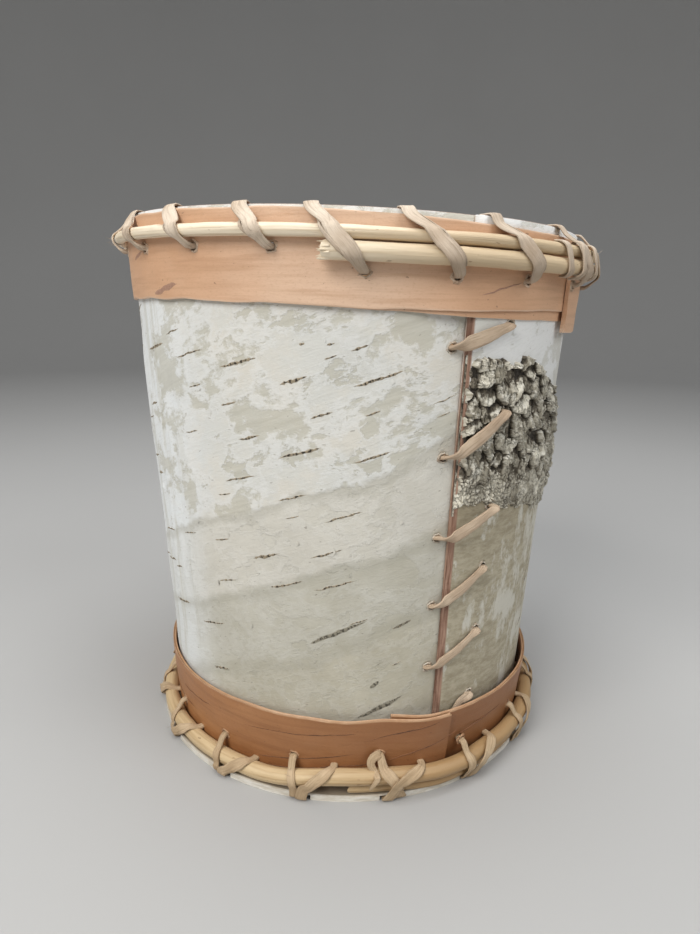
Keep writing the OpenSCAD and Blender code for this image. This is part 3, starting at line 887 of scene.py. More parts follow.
# The broad ones have a slant of their own
broad_marks = [
    (-2, 67.6, 27, 1.7, 25), (9.4, 35.5, 23, 1.5, 25), (7.5, 45.5, 5, 1.3, 40),
    (-37, 42, 11, 0.9, 8), (14, 70, 9, 0.9, 24), (96, 60, 24, 1.6, 20),
    (170, 74, 26, 1.8, 18), (238, 55, 22, 1.5, 20),
]
spindles("broad_lenticels", broad_marks, outer_skin, broad_finish, 60.0, 9, 0.3)

# %% [markdown]
# ## Lifted paper
# The white layer peels in little tongues. Each tongue is a thin lens-shaped section carried along a
# short path that leaves the wall and rolls over, so its edge catches the light.

# %% Paper tongues
tongue_rings = 8
tongue_sides = 8


def paper_tongues(count, seed):
    """Tongues of bark paper: each starts in the wall, rises along an arc and narrows to a ragged tip."""
    pick = np.random.default_rng(seed)
    t = np.linspace(0, 1, tongue_rings)[:, None]
    s = circle(tongue_sides)[None]
    runs = []
    for k in range(count):
        a0 = pick.uniform(-62, 16) if k % 2 else pick.uniform(62, 300)
        z0 = pick.uniform(44, 172)
        size = pick.uniform(1.2, 3.0)
        roll = pick.uniform(0.5, 1.6)
        way = pick.choice([-1, 1])
        wide = size * (0.9 - 0.75 * t**1.5) * (1 + 0.3 * grain(t * 4, k, seed))
        x = way * size * np.sin(roll * t) / roll
        off = size * (1 - np.cos(roll * t)) / roll * 0.55 - 0.12 + 0.05 * np.sin(s)
        z = z0 + 0.34 * x + wide * np.cos(s) * 0.8
        a = a0 + np.degrees(x / skin_r) + 0 * z
        rings = polar(a, outer_skin(a, z) + off, z)
        arc = np.radians(a0 if a0 < seam_at else a0 - 360) * sheet_r * mm
        across = np.linspace(0, 0.004, tongue_sides + 1) + arc
        runs.append((rings, across, np.linspace(0, 0.003, tongue_rings) + z0 * mm))
    return ring_piece("paper_tongues", runs, white_bark)


paper_tongues(46, 8)

# %% [markdown]
# ## Rough bark
# Beside the lap a patch of old outer bark was left on. It is cracked into plates that lean out at
# their lower ends, like shingles. Every plate has its own height, tilt and tone, its edge steps down
# in layers, and a second, finer set of plates makes the crumbs along the bottom.


# %% Finish of the rough bark
def cork_finish():
    """Rough bark: cracks and sides darker the lower they lie, partly their own dark brown and partly
    painted shade, grey-olive weathered plates with pale crusts, a painted highlight on the upper edges of
    raised plates, and thin cracks across them."""
    finish, tree, shader = new_finish("rough_bark")
    place = along_surface(tree)
    crumbs = noise(tree, place, 800.0, 4.0, 0.7)
    level = plus(tree, mark_of(tree, "level"), times(tree, minus(tree, crumbs, 0.5), 0.30))
    side = blend(tree, crumbs, (0.070, 0.055, 0.038), (0.23, 0.195, 0.14))
    plate = blend(tree, mark_of(tree, "tone"), (0.255, 0.225, 0.165), (0.76, 0.715, 0.595))
    weather = noise(tree, stretch(tree, place, (1.0, 0.45, 1)), 330.0, 5.0, 0.65)
    plate = tint(tree, plate, step(tree, weather, 0.46, 0.68), 0.55, (0.17, 0.145, 0.10))
    # The tone follows the height: cracks and sides are dark brown, partly their own colour and partly
    # painted shade
    colour = blend(tree, step(tree, level, 0.10, 0.34), (0.042, 0.033, 0.023), side)
    colour = blend(tree, step(tree, level, 0.36, 0.60), colour, plate)
    crust = step(tree, noise(tree, place, 240.0, 5.0, 0.65), 0.50, 0.62)
    crust = times(tree, crust, step(tree, level, 0.45, 0.75))
    colour = tint(tree, colour, crust, 0.8, (0.78, 0.75, 0.655))
    # Painted highlight: the upper edges of raised plates are painted pale, as if lit from above
    colour = tint(tree, colour, mark_of(tree, "lit_lip"), 0.85, (0.86, 0.83, 0.74))
    thin = noise(tree, stretch(tree, place, (1.4, 0.5, 1)), 300.0, 4.0, 0.6, 0.3)
    thin = step(tree, sums(tree, "ABSOLUTE", minus(tree, thin, 0.5)), 0.022, 0.006)
    colour = tint(tree, colour, thin, 0.5, (0.085, 0.068, 0.047))
    relief = minus(tree, plus(tree, crumbs, weather), thin)
    dress(tree, shader, colour, 0.60, relief, 0.0006, gloss=0.45)
    return finish


cork = cork_finish()

# %% Cracked plates
lots_grid = 64
plate_power = 2.6
left_out = 9


def plates(x, y, wide, tall, kept, seed):
    """Cracked plates: seeds sit on a jittered grid, some left out, and each point belongs to its
    nearest seed. Returns the distance to the nearest crack, three random numbers for each plate, and
    the way from its seed as parts of half a plate."""
    pick = np.random.default_rng(seed)
    jog = pick.uniform(-0.42, 0.42, (2, lots_grid, lots_grid))
    lots = pick.uniform(0, 1, (4, lots_grid, lots_grid))
    near = np.arange(-2, 3)
    i = np.floor(x / wide).astype(int)[..., None, None] + near[:, None]
    j = np.floor(y / tall).astype(int)[..., None, None] + near
    i, j = np.broadcast_arrays(i, j)
    row, col = i % lots_grid, j % lots_grid
    dx = x[..., None, None] / wide - (i + 0.5 + 0.5 * (j % 2) + jog[0, row, col])
    dy = y[..., None, None] / tall - (j + 0.5 + jog[1, row, col])
    away = (np.abs(dx) ** plate_power + np.abs(dy) ** plate_power) ** (1 / plate_power)
    away = away + left_out * (lots[3, row, col] > kept)
    away = away.reshape(x.shape + (near.size**2,))
    order = np.argsort(away, axis=-1)[..., :2]
    first, second = np.moveaxis(np.take_along_axis(away, order, -1), -1, 0)
    mine = order[..., :1]
    px = np.take_along_axis(dx.reshape(away.shape), mine, -1)[..., 0] * 2
    py = np.take_along_axis(dy.reshape(away.shape), mine, -1)[..., 0] * 2
    own = np.take_along_axis((row * lots_grid + col).reshape(away.shape), mine, -1)[..., 0]
    return (second - first) * min(wide, tall) / 2, lots.reshape(4, -1)[:3, own], px, py


# %% The rough patch
rough_span = 47.0
rough_high = 164.0
rough_low = 115.0
rough_t = 2.4
rough_most = 3.3
rough_across = 300
rough_up = 290
rough_behind = 12
rough_r = 88


def cork_height(x, z, u, v):
    """Height of the rough bark off the wall. Big plates have a height, a tilt and a dish of their own,
    and steps at their edges. Low down they give way to small grains, which are worn at the right.
    Returns the height, the level that sets the tone (low is dark, partly painted shade), the share of
    grains and each plate's lots."""
    bent_x = x + 0.9 * layers(x / 7, z / 7, 31) + 0.35 * layers(x / 2, z / 2, 33)
    bent_z = z + 0.9 * layers(x / 6, z / 6, 37) + 0.35 * layers(x / 2, z / 2, 39)
    gap, lot, px, py = plates(bent_x, bent_z, 4.6, 5.8, 0.74, 3)
    small_x = bent_x + 0.4 * layers(x / 3, z / 3, 41)
    small_gap, small_lot = plates(small_x, bent_z, 1.3, 1.7, 1.0, 9)[:2]
    fine = ease((0.34 - v + 0.1 * grain(x / 7, z / 7, 43)) / 0.16)
    worn = fine * ease((u - 0.34 + 0.1 * grain(x / 6, z / 6, 47)) / 0.14)
    crumble = 1 - (1 - ease((small_gap - 0.04) / 0.30)) * (1 - 0.75 * worn)
    parted = ease(0.18 + layers(x / 5, z / 9, 53))
    crack = 0.34 * parted
    rise = np.clip((gap - crack + 0.06) / 0.14, 0, 1)
    low = 0.15 + 0.45 * (1 - parted)
    torn = 0.25 * layers(x / 1.1, z / 1.1, 57)
    terrace = 0.82 + 0.10 * (gap - crack + torn > 0.35) + 0.08 * (gap - crack + torn > 0.85)
    tilt = 2.2 * (lot[1] - 0.5) * px - (0.2 + 1.3 * lot[2]) * py
    dish = 0.6 * (lot[0] - 0.2) * (0.45 * px**2 + 0.55 * py**2 - 0.35)
    step_down = 0.30 * (small_lot[0] > 0.72)
    big = np.clip(1.2 + 1.3 * lot[0] + tilt + dish - step_down, 0.3, rough_most) * terrace
    big = big * (0.95 + 0.05 * crumble) * (low + (1 - low) * rise)
    grains = 0.35 + crumble * (0.25 + 0.55 * small_lot[0])
    height = big * (1 - fine) + grains * fine
    fibres = 0.20 * layers(x / 0.8, z / 1.1, 51) + 0.30 * layers(x / 1.1, z / 4, 55) * (1 - fine)
    height = np.clip(height + fibres * (0.25 + rise), 0.05, rough_most)
    # Partly painted shade: the level falls with the height, so low places take the dark tones
    level = np.clip((height - 0.15) / 2, 0, 1) * (0.80 + 0.20 * crumble) * (1 - fine)
    level = level + fine * (0.50 + 0.16 * crumble)
    return height, level, fine, lot


def rough_patch():
    """A height field over the lap, cut back to a wandering outline. Outside the outline it sinks into
    the wall, so the edge is ragged. A smooth back closes it inside the wall."""
    u = np.linspace(-0.02, 1.06, rough_across)[:, None]
    v = np.linspace(-0.09, 1.07, rough_up)[None]
    bottom = rough_low - 14 * u + np.sin(np.radians(900 * u))
    top = rough_high + 18 * u - 50 * u**2 + 1.5 * np.sin(np.radians(1080 * u))
    a = seam_at + 1.2 + rough_span * u + 0 * v
    z = bottom + (top - bottom) * v
    x = np.radians(a) * rough_r
    height, level, fine, lot = cork_height(x, z, u, v)
    wander = 0.020 * layers(x / 3, z / 3, 61) + 0.035 * (lot[1] - 0.5)
    beside_edge = np.minimum(u + 0.3 * wander, 1 - u + wander)
    inside = np.minimum(beside_edge, np.minimum(v + wander, 1 - v + wander))
    edge = ease((inside + 0.004) / 0.016)
    height = height * edge - 0.9 * (1 - edge)
    # Painted highlight: where the height falls going up on a raised plate, its upper edge is marked to be
    # painted pale, as if lit from above
    slope = np.gradient(height, axis=1) / np.gradient(z, axis=1)
    lit_lip = ease((-slope - 0.5) / 1.5) * ease((height - 1.1) / 0.8)
    lit_lip = np.clip(lit_lip, 0, 1) * (1 - fine)
    front = polar(a, wall_in(z) + wall_lift(a) + wall_t + seat_gap + height, z)
    back_z = bottom + (top - bottom) * np.linspace(1.07, -0.09, rough_behind)[None]
    back_a = a[:, :rough_behind]
    back = polar(back_a, wall_in(back_z) + wall_lift(back_a) + wall_t - 1.2, back_z)
    rings = np.concatenate([front, back], axis=1)
    groups = [ring_faces(*rings.shape[:2])[0], end_faces(*rings.shape[:2])]
    back_uv = np.stack([x[:, :rough_behind], back_z], -1)
    uv = np.concatenate([np.stack([x, z], -1), back_uv], axis=1).reshape(-1, 2) * mm
    blank = np.zeros((rough_across, rough_behind))
    values = {"level": level, "tone": lot[2], "lit_lip": lit_lip}
    marks = {name: np.concatenate([value, blank], axis=1) for name, value in values.items()}
    uvs = [uv[g] for g in groups]
    points = rings.reshape(-1, 3)
    nodes = ("rough_bark",)
    return make_piece("rough_patch", points, groups, cork, uvs, marks, 32, nodes)


rough_patch()

# %% [markdown]
# ## Base
# The base is a disc of bark, and the CAD solid is already the right shape: flat, round, with the
# slits that the lashing goes through. It only needs a finish. Its edge is white outer bark and its
# faces are tan, with painted shade on the ring under the hoop.


# %% Finish of the base
def base_finish():
    """Bark disc: a cream edge, a dull dark ring under the hoop that is painted shade, and tan with fine
    grain elsewhere, placed by the distance from the middle in object coordinates."""
    finish, tree, shader = new_finish("base_bark")
    where = in_space(tree)
    flat = put(tree, "ShaderNodeVectorMath", 0, {"operation": "MULTIPLY"})
    flat.node.inputs[1].default_value = (1, 1, 0)
    tree.links.new(where, flat.node.inputs[0])
    reach = put(tree, "ShaderNodeVectorMath", 1, {"operation": "LENGTH"})
    tree.links.new(flat, reach.node.inputs[0])
    veins = noise(tree, stretch(tree, where, (0.2, 2.4, 1), 30), 120.0, 4.0, 0.6)
    tan = blend(tree, veins, (0.40, 0.245, 0.135), (0.58, 0.385, 0.23))
    edges = noise(tree, stretch(tree, where, (1, 1, 5)), 150.0, 4.0, 0.6)
    # Painted shade: the ring of the top face under the hoop is painted dull and dark
    hoop_shade = blend(tree, edges, (0.23, 0.185, 0.13), (0.35, 0.295, 0.22))
    cream = blend(tree, step(tree, edges, 0.36, 0.66), (0.62, 0.565, 0.47), (0.78, 0.745, 0.67))
    under_hoop = step(tree, reach, (disc_r - 11) / 1000, (disc_r - 9) / 1000)
    on_edge = step(tree, reach, (disc_r - 1.1) / 1000, (disc_r - 0.5) / 1000)
    colour = blend(tree, on_edge, blend(tree, under_hoop, tan, hoop_shade), cream)
    dress(tree, shader, colour, 0.7, edges)
    return finish


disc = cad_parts["base_disc"]
for holder in disc.material_slots:
    holder.material = base_finish()
print("base finish on", len(disc.material_slots), "slot")

# %% [markdown]
# ## Bark bands
# The two bands are strips of the same bark turned inside out, so their tan inner layers show. The rim
# band is a light orange tan with fine specks. The foot band is redder, with long dark lines. Their
# cut edges are pale, and in places the layers part, so an edge is modelled with a groove along its
# middle.


# %% Finish of the bands
def band_finish(name, dark, mid, light, line, lines_from, edge, painted_light_tone, amount, fade):
    """Inner bark: slow clouds of tan, and painted light that turns them to another tone towards the right
    and may fade back, long lines the way of the grain, pores, specks, and pale cut edges."""
    finish, tree, shader = new_finish(name)
    place = along_surface(tree)
    clouds = noise(tree, stretch(tree, place, (0.5, 1.1, 1)), 26.0, 4.0, 0.6)
    colour = blend(tree, step(tree, clouds, 0.30, 0.72), mid, light)
    # Painted light, by x in object coordinates: a tone that grows towards the right and may fade back; a
    # painted sheen in the middle of the rim band, painted shade to the right on the foot band
    x = axes_of(tree, in_space(tree))[0]
    right = times(tree, step(tree, x, -0.07, 0.02), amount)
    right = minus(tree, right, times(tree, step(tree, x, 0.0, 0.045), fade))
    colour = blend(tree, right, colour, painted_light_tone)
    veins = noise(tree, stretch(tree, place, (0.09, 1.6, 1)), 260.0, 4.0, 0.6)
    colour = tint(tree, colour, step(tree, veins, 0.42, 0.70), 0.45, dark)
    long = noise(tree, stretch(tree, place, (0.055, 1.0, 1), -1.5), 130.0, 1.5, 0.5, 0.2)
    drawn = step(tree, long, lines_from, lines_from + 0.05)
    colour = tint(tree, colour, drawn, 0.75, line)
    specks = noise(tree, stretch(tree, place, (0.7, 1.3, 1)), 640.0, 1.0)
    colour = tint(tree, colour, step(tree, specks, 0.735, 0.775), 0.55, line)
    pores = noise(tree, stretch(tree, place, (0.8, 1.5, 1)), 950.0, 3.0, 0.7)
    colour = tint(tree, colour, step(tree, pores, 0.50, 0.72), 0.30, dark)
    bloom = noise(tree, place, 14.0, 4.0, 0.65)
    colour = tint(tree, colour, step(tree, bloom, 0.52, 0.75), 0.25, edge)
    fibres = noise(tree, stretch(tree, place, (0.5, 6.0, 1)), 400.0, 3.0)
    colour = blend(tree, mark_of(tree, "cut"), colour, blend(tree, fibres, mid, edge))
    relief = plus(tree, times(tree, veins, 0.25), times(tree, clouds, 0.8))
    relief = minus(tree, relief, times(tree, drawn, 0.5))
    relief = plus(tree, relief, times(tree, pores, 0.22))
    dress(tree, shader, colour, 0.46, relief)
    return finish


rim_bark = band_finish(
    "rim_bark",
    dark=(0.48, 0.265, 0.145),
    mid=(0.62, 0.36, 0.21),
    light=(0.73, 0.455, 0.285),
    line=(0.20, 0.10, 0.06),
    lines_from=0.78,
    edge=(0.78, 0.61, 0.46),
    # Painted sheen: the rim band turns paler across the middle of the front
    painted_light_tone=(0.83, 0.63, 0.475),
    amount=0.66,
    fade=0.66,
)
foot_bark = band_finish(
    "foot_bark",
    dark=(0.235, 0.090, 0.030),
    mid=(0.345, 0.146, 0.052),
    light=(0.45, 0.210, 0.082),
    line=(0.075, 0.034, 0.017),
    lines_from=0.68,
    edge=(0.62, 0.43, 0.27),
    # Painted shade: the foot band turns darker towards the right
    painted_light_tone=(0.205, 0.083, 0.034),
    amount=0.58,
    fade=0.0,
)

# %% Routes of the rods
rim_butt_d = 5.8
rim_tip_d = 4.1
rim_butt_at = -4.5
rim_hoop_lap = 105.0
rim_hoop_below = 7.7
rim_climb_from = 135
rim_climb = 120
foot_tip_d = 4.2
foot_butt_d = 6.4
foot_tip_at = 3.0
foot_hoop_lap = 92.0
foot_climb_from = 334
foot_climb = 24


def rim_rod(a):
    """Radius, height and thickness of the rim rod at an angle along its whole length, past one turn.
    The first part runs lower by the rod's mean thickness and eases up under the last part."""
    along = (a - rim_butt_at) / (360 + rim_hoop_lap)
    d = rim_butt_d + (rim_tip_d - rim_butt_d) * ease(1.6 * along)
    drop = (rim_butt_d + rim_tip_d) / 2 + hoop_gap
    z = rim_z(a) - rim_hoop_below - drop * (1 - ease((a - rim_butt_at - rim_climb_from) / rim_climb))
    return rim_out(a, z) + hoop_gap + d / 2, z, d


def foot_rod_d(a):
    """Thickness of the foot rod along its length: it eases from the tip's to the butt's."""
    along = 2.4 * (a - foot_tip_at) / (360 + foot_hoop_lap)
    return foot_tip_d + (foot_butt_d - foot_tip_d) * ease(along)


def foot_rod(a):
    """Radius, height and thickness of the foot rod: after one turn it climbs on to its own first part."""
    d = foot_rod_d(a)
    climb = ease((a - foot_tip_at - foot_climb_from) / foot_climb)
    z = disc_t + hoop_gap + d / 2 + (foot_rod_d(a - 360) + hoop_gap) * climb
    return foot_out(a, z) + hoop_gap + d / 2, z, d


def lowest_run(a, start):
    """The angle along a rod of its first pass at an angle."""
    return start + (a - start) % 360


def highest_run(a, start, lap):
    """The angle along a rod of its last pass at an angle."""
    first = lowest_run(a, start)
    return np.where(first - start <= lap, first + 360, first)


def rim_low(a):
    """The rim rod where it first passes an angle."""
    return rim_rod(lowest_run(a, rim_butt_at))


def rim_high(a):
    """The rim rod where it last passes an angle."""
    return rim_rod(highest_run(a, rim_butt_at, rim_hoop_lap))


def foot_low(a):
    """The foot rod where it first passes an angle."""
    return foot_rod(lowest_run(a, foot_tip_at))


def foot_high(a):
    """The foot rod where it last passes an angle."""
    return foot_rod(highest_run(a, foot_tip_at, foot_hoop_lap))


print(f"rim rod at the front: {float(rim_low(0.0)[1]):.1f} and {float(rim_high(0.0)[1]):.1f} mm up")

# %% Awl holes
rim_turns = 20
rim_pitch = 18.0
rim_front_hole = 2.5
foot_stitches = 16
foot_pitch = 22.5
foot_first = 9.0
foot_leg = 11
first_leg_up = 4.2
second_leg_up = -0.4
lace_count = 6
lace_from = wall_h - 34
lace_drop = 12
wall_hole_r = 1.8
band_hole_r = 1.6


def rim_hole_z(a):
    """A rim hole lies just below the lower run of the rod."""
    _, z, d = rim_low(a)
    return z - d / 2 - 2.6


def foot_hole_z(a, above):
    """A foot hole lies at or a little above the top of the upper run of the rod."""
    _, z, d = foot_high(a)
    return z + d / 2 + above


# Holes made by hand are uneven, so those of the lacing are moved up or down a little
lace_left_at = seam_at - 2.7
lace_right_at = seam_at + 11.0
lace_left_jog = np.array([4.5, -3.5, 1.5, -1, -0.5, 0])
lace_right_jog = np.array([0, -0.5, -6.5, -2.4, 0, 0])
lace_pitch = (lace_from - foot_band_top - 2.4) / (lace_count - 1)
lace_right_z = lace_from - lace_pitch * np.arange(lace_count) + lace_right_jog
lace_left_z = lace_right_z - lace_drop + lace_left_jog
rim_hole_a = rim_front_hole + rim_pitch * (rim_turns // 2 - np.arange(rim_turns))
first_leg_a = foot_first + foot_pitch * np.arange(foot_stitches)
foot_hole_a = np.concatenate([first_leg_a, first_leg_a + foot_leg])
foot_above = np.repeat([first_leg_up, second_leg_up], foot_stitches)
rim_holes = np.column_stack([rim_hole_a, rim_hole_z(rim_hole_a)])
foot_holes = np.column_stack([foot_hole_a, foot_hole_z(foot_hole_a, foot_above)])
band_foot_holes = foot_holes[:foot_stitches]
lace_holes = np.concatenate([
    np.column_stack([np.full(lace_count, lace_right_at), lace_right_z]),
    np.column_stack([np.full(lace_count, lace_left_at), lace_left_z])[:-1],
])
punch(wall, np.concatenate([rim_holes, foot_holes, lace_holes]), wall_hole_r)

# %% Rim band
band_end = tag_at + 360 + rim_band_lap
layer_from = 351
peel_from = 352
peel_over = 63
peel = 3.4


def rim_edge(a):
    """How the band's edges run: with the rim, dropping towards the loose end, with a slow wave."""
    drop = tag_drop * (1 - ease((a - tag_at) / 90))
    return rim_fall(a) - drop + np.cos(np.radians(2 * a + 60)) + 0.35 * grain(a / 7, 3, 71)


def rim_band_low(a):
    """Height of the rim band's lower edge."""
    return wall_h - rim_reveal - rim_band_h + rim_edge(a)


def rim_band_high(a):
    """Height of the rim band's upper edge."""
    return wall_h - rim_reveal + rim_edge(a)


def rim_band_inner(a, z):
    """Inner radius of the rim band: it lies on the wall and the lap, and its outer end lies on its
    inner end."""
    lap = (band_t + lap_gap) * (1 - ease((a - tag_at - rim_band_lap) / lap_fall))
    return wall_r(z) + seat_gap + seam_cover(a) + lap


def rim_band_swell(a, z):
    """Unevenness of the rim band's face: noise, sunk a little to leave the strips room."""
    return 0.14 * layers(a / 5, z / 9, 73) - 0.1


rim_angles = np.linspace(tag_at, band_end, 470)
rim_parts = sheet_rings(
    rim_angles,
    low=lambda a: rim_band_low(a) + peel * ease((a - peel_from) / peel_over),
    high=rim_band_high,
    inner=rim_band_inner,
    thickness=band_t,
    rows=24,
    back_rows=12,
    split=0.5,
    swell=rim_band_swell,
    worn=0.8,
)
rim_band = sheet_piece("rim_band_bark", rim_angles, rim_parts, rim_bark, ("rim_band",))
punch(rim_band, rim_holes, band_hole_r)

# The inner layer of the band shows below the outer one as it nears the loose end
layer_angles = np.linspace(layer_from, band_end, 110)
layer_parts = sheet_rings(
    layer_angles,
    low=rim_band_low,
    high=lambda a: rim_band_low(a) + 8,
    inner=rim_band_inner,
    thickness=band_t * (0.45 - 0.1 * ease((layer_angles - layer_from) / 60)),
    rows=8,
    back_rows=6,
)
sheet_piece("rim_band_layer", layer_angles, layer_parts, rim_bark)

# %% Foot band
foot_end = foot_band_at + 360 + foot_band_lap


def foot_band_high(a):
    """Height of the foot band's upper edge: higher at its first end, with a slow wave."""
    return foot_band_top + 1.3 * (1 - ease((a - foot_band_at) / 18)) + 0.4 * grain(a / 9, 5, 77)


def foot_band_inner(a, z):
    """Inner radius of the foot band: it leans off the wall, and its last part lies over its first."""
    lap = (band_t + lap_gap) * ease((a - foot_band_at - 360 + lap_fall) / lap_fall)
    return wall_r(z) + seat_gap + seam_cover(a) + foot_lean(a, z) + lap


def foot_band_swell(a, z):
    """Unevenness of the foot band's face, as at the rim."""
    return 0.14 * layers(a / 5, z / 7, 79) - 0.1


foot_angles = np.linspace(foot_band_at, foot_end, 460)
foot_parts = sheet_rings(
    foot_angles,
    low=lambda a: disc_t + seat_gap + 0 * a,
    high=foot_band_high,
    inner=foot_band_inner,
    thickness=band_t,
    rows=26,
    back_rows=12,
    split=0.6,
    swell=foot_band_swell,
    worn=0.9,
)
foot_band = sheet_piece(
    "foot_band_bark", foot_angles, foot_parts, foot_bark, ("foot_band",)
)
punch(foot_band, band_foot_holes, band_hole_r)


# %% Scars on the rim band
def sunk(surface, depth):
    """A surface lowered by a depth, so that what lies on it is partly let in."""
    return lambda a, z: surface(a, z) - depth


scar_finish = mark_finish(
    "bark_scar",
    dark=(0.37, 0.21, 0.145),
    mid=(0.41, 0.24, 0.165),
    pale=(0.50, 0.31, 0.205),
)
rim_scars = [
    (-44, 186.5, 17, 2.0, 13), (31, 187.5, 18, 0.36, 15), (-57, 198, 10, 0.8, 14),
    (140, 190, 20, 1.4, 14), (205, 188, 18, 1.2, 15), (275, 189, 19, 1.3, 14),
]
spindles("rim_scars", rim_scars, sunk(rim_out, 0.06), scar_finish, 400.0, 5, 0.12)

# %% Creases in the foot band: dark lines, partly the bark's own and partly painted shade in the folds
crease_finish = mark_finish(
    "crease",
    dark=(0.075, 0.032, 0.016),
    mid=(0.115, 0.050, 0.023),
    pale=(0.25, 0.108, 0.048),
)
creases = [
    (-12, 24.6, 56, 0.30, 6), (-13, 13.2, 60, 0.30, 11), (-10, 9.6, 44, 0.26, 10),
    (15, 27.0, 40, 0.30, 14), (20, 18.6, 30, 0.36, 19), (40, 21.8, 34, 0.28, 3),
    (4, 12.6, 16, 0.24, 5), (-48, 22, 34, 0.24, 4), (-60, 14, 30, 0.24, 3),
    (75, 24, 44, 0.28, 4), (110, 16, 48, 0.28, -3), (150, 25, 42, 0.3, 4),
    (190, 14, 50, 0.28, 3), (225, 22, 44, 0.3, -2), (262, 18, 48, 0.28, 4),
]
spindles("foot_creases", creases, sunk(foot_out, 0.11), crease_finish, 60.0, 15)

# %% [markdown]
# ## Willow hoops
# Each hoop is one peeled willow shoot, thick at its butt and thin at its tip, that goes more than
# once round. A round section is carried along its path. Small noise makes it uneven, a few buds leave
# bumps, and its ends are cut at a slant.


# %% Finish of the peeled willow
def willow_finish(name, low, high, streak_and_shade):
    """Peeled willow: cream-yellow, duller and browner towards the right as partly its own tan and partly
    painted shade, with long streaks the way of the shoot, brown flecks and a satin sheen."""
    finish, tree, shader = new_finish(name)
    place = along_surface(tree)
    streaks = noise(tree, stretch(tree, place, (2.2, 0.07, 1)), 330.0, 4.0, 0.6)
    clouds = noise(tree, stretch(tree, place, (1.0, 0.3, 1)), 60.0, 3.0)
    colour = blend(tree, clouds, low, high)
    colour = tint(tree, colour, step(tree, streaks, 0.43, 0.70), 0.6, streak_and_shade)
    # Partly painted shade: towards the right, in object x, the rod is turned to its streak colour
    x = axes_of(tree, in_space(tree))[0]
    colour = tint(tree, colour, step(tree, x, -0.02, 0.04), 0.85, streak_and_shade)
    flecks = noise(tree, stretch(tree, place, (1.6, 0.45, 1)), 400.0, 2.0)
    colour = tint(tree, colour, step(tree, flecks, 0.68, 0.74), 0.6, (0.24, 0.13, 0.06))
    dress(tree, shader, colour, 0.52, streaks)
    return finish


rim_willow = willow_finish(
    "rim_willow",
    low=(0.80, 0.675, 0.49),
    high=(0.89, 0.79, 0.63),
    streak_and_shade=(0.55, 0.41, 0.245),
)
foot_willow = willow_finish(
    "foot_willow",
    low=(0.53, 0.38, 0.20),
    high=(0.68, 0.525, 0.315),
    streak_and_shade=(0.36, 0.215, 0.092),
)

# %% Rods
rod_sides = 18
hoop_r = 93
# The way round a section in the UV map, in metres
girth = 0.016


def unit(v):
    """Vectors brought to length 1."""
    return v / np.linalg.norm(v, axis=-1, keepdims=True)


def rod_run(start, lap, rod, buds, seed, slant):
    """Rings of a rod, one for each degree: a circle of its thickness, made uneven, with a bump at each
    bud and slanted cut ends. A bud is an angle along the rod and a side of its section in radians."""
    a = np.linspace(start, start + 360 + lap, int(360 + lap) + 1)[:, None]
    s = circle(rod_sides)[None]
    r, z, d = rod(a)
    bump = sum(
        np.exp(-((a - at) / 0.9) ** 2) * np.maximum(0, np.cos(s - side)) ** 3 for at, side in buds
    )
    uneven = 1 + 0.035 * grain(a / 4, np.cos(s) + 3, seed) + 0.03 * grain(a / 11, np.sin(s) + 7, seed + 1)
    half = d / 2 * uneven - 0.06 + 0.5 * bump
    cut = np.zeros_like(a)
    cut[0] = slant[0]
    cut[1] = slant[0] * 0.75
    cut[-1] = slant[1]
    sway = 0.10 * grain(a / 13, 1, seed + 2)
    rings = polar(a + cut * np.cos(s), r + 0.05 + half * np.cos(s), z + sway + half * np.sin(s))
    along = np.radians(a[:, 0] - start) * hoop_r * mm
    return rings, np.linspace(0, girth, rod_sides + 1), along


rim_buds = [
    (20, 0.4), (75, 1.2), (140, 0.2), (205, 0.8), (262, 0.3), (318, 0.6), (340, 0.9), (375, 0.9),
    (412, 0.3),
]
foot_buds = [
    (40, 0.3), (118, 0.9), (190, 0.2), (250, 0.5), (300, 1.0), (330, 0.1), (372, 0.6), (420, 0.4),
]
rim_run = rod_run(rim_butt_at, rim_hoop_lap, rim_rod, rim_buds, 81, (-1.0, 1.2))
ring_piece("rim_rod", [rim_run], rim_willow, ("rim_hoop",))
foot_run = rod_run(foot_tip_at, foot_hoop_lap, foot_rod, foot_buds, 91, (-2.2, 1.4))
ring_piece("foot_rod", [foot_run], foot_willow, ("foot_hoop",))

# %% [markdown]
# ## Split-root strips
# A root is split and shaved into a flat pliable strip. Its route is a row of stops: angle, radius,
# height, the way it faces, width and thickness. Between stops it runs along cubics that never
# overshoot, so it doesn't swing wide of them. It isn't free of everything: in places a strip still
# crosses a band, a rod, the disc or the rough bark by up to a millimetre. A flat oval section is
# carried along the route, a little curled and ridged by its fibres.


# %% Finish of the strips
def strip_finish(name, dark, mid, light, shade_below_rods):
    """Dry split root: pale beige, streaked lengthwise by fibres. The last argument is how far the part that
    lies low on the rim, under the rods and towards its holes, is darkened as painted shade."""
    finish, tree, shader = new_finish(name)
    place = along_surface(tree)
    fibres = noise(tree, stretch(tree, place, (2.8, 0.14, 1)), 520.0, 5.0, 0.72)
    clouds = noise(tree, place, 70.0, 3.0)
    colour = blend(tree, step(tree, clouds, 0.3, 0.7), mid, light)
    colour = tint(tree, colour, step(tree, fibres, 0.44, 0.68), 0.62, dark)
    # Painted shade: below the rim rods, down to the holes and inside, the strip is darkened
    height = axes_of(tree, in_space(tree))[2]
    colour = tint(tree, colour, step(tree, height, 0.203, 0.191), shade_below_rods, dark)
    dress(tree, shader, colour, 0.68, fibres)
    return finish


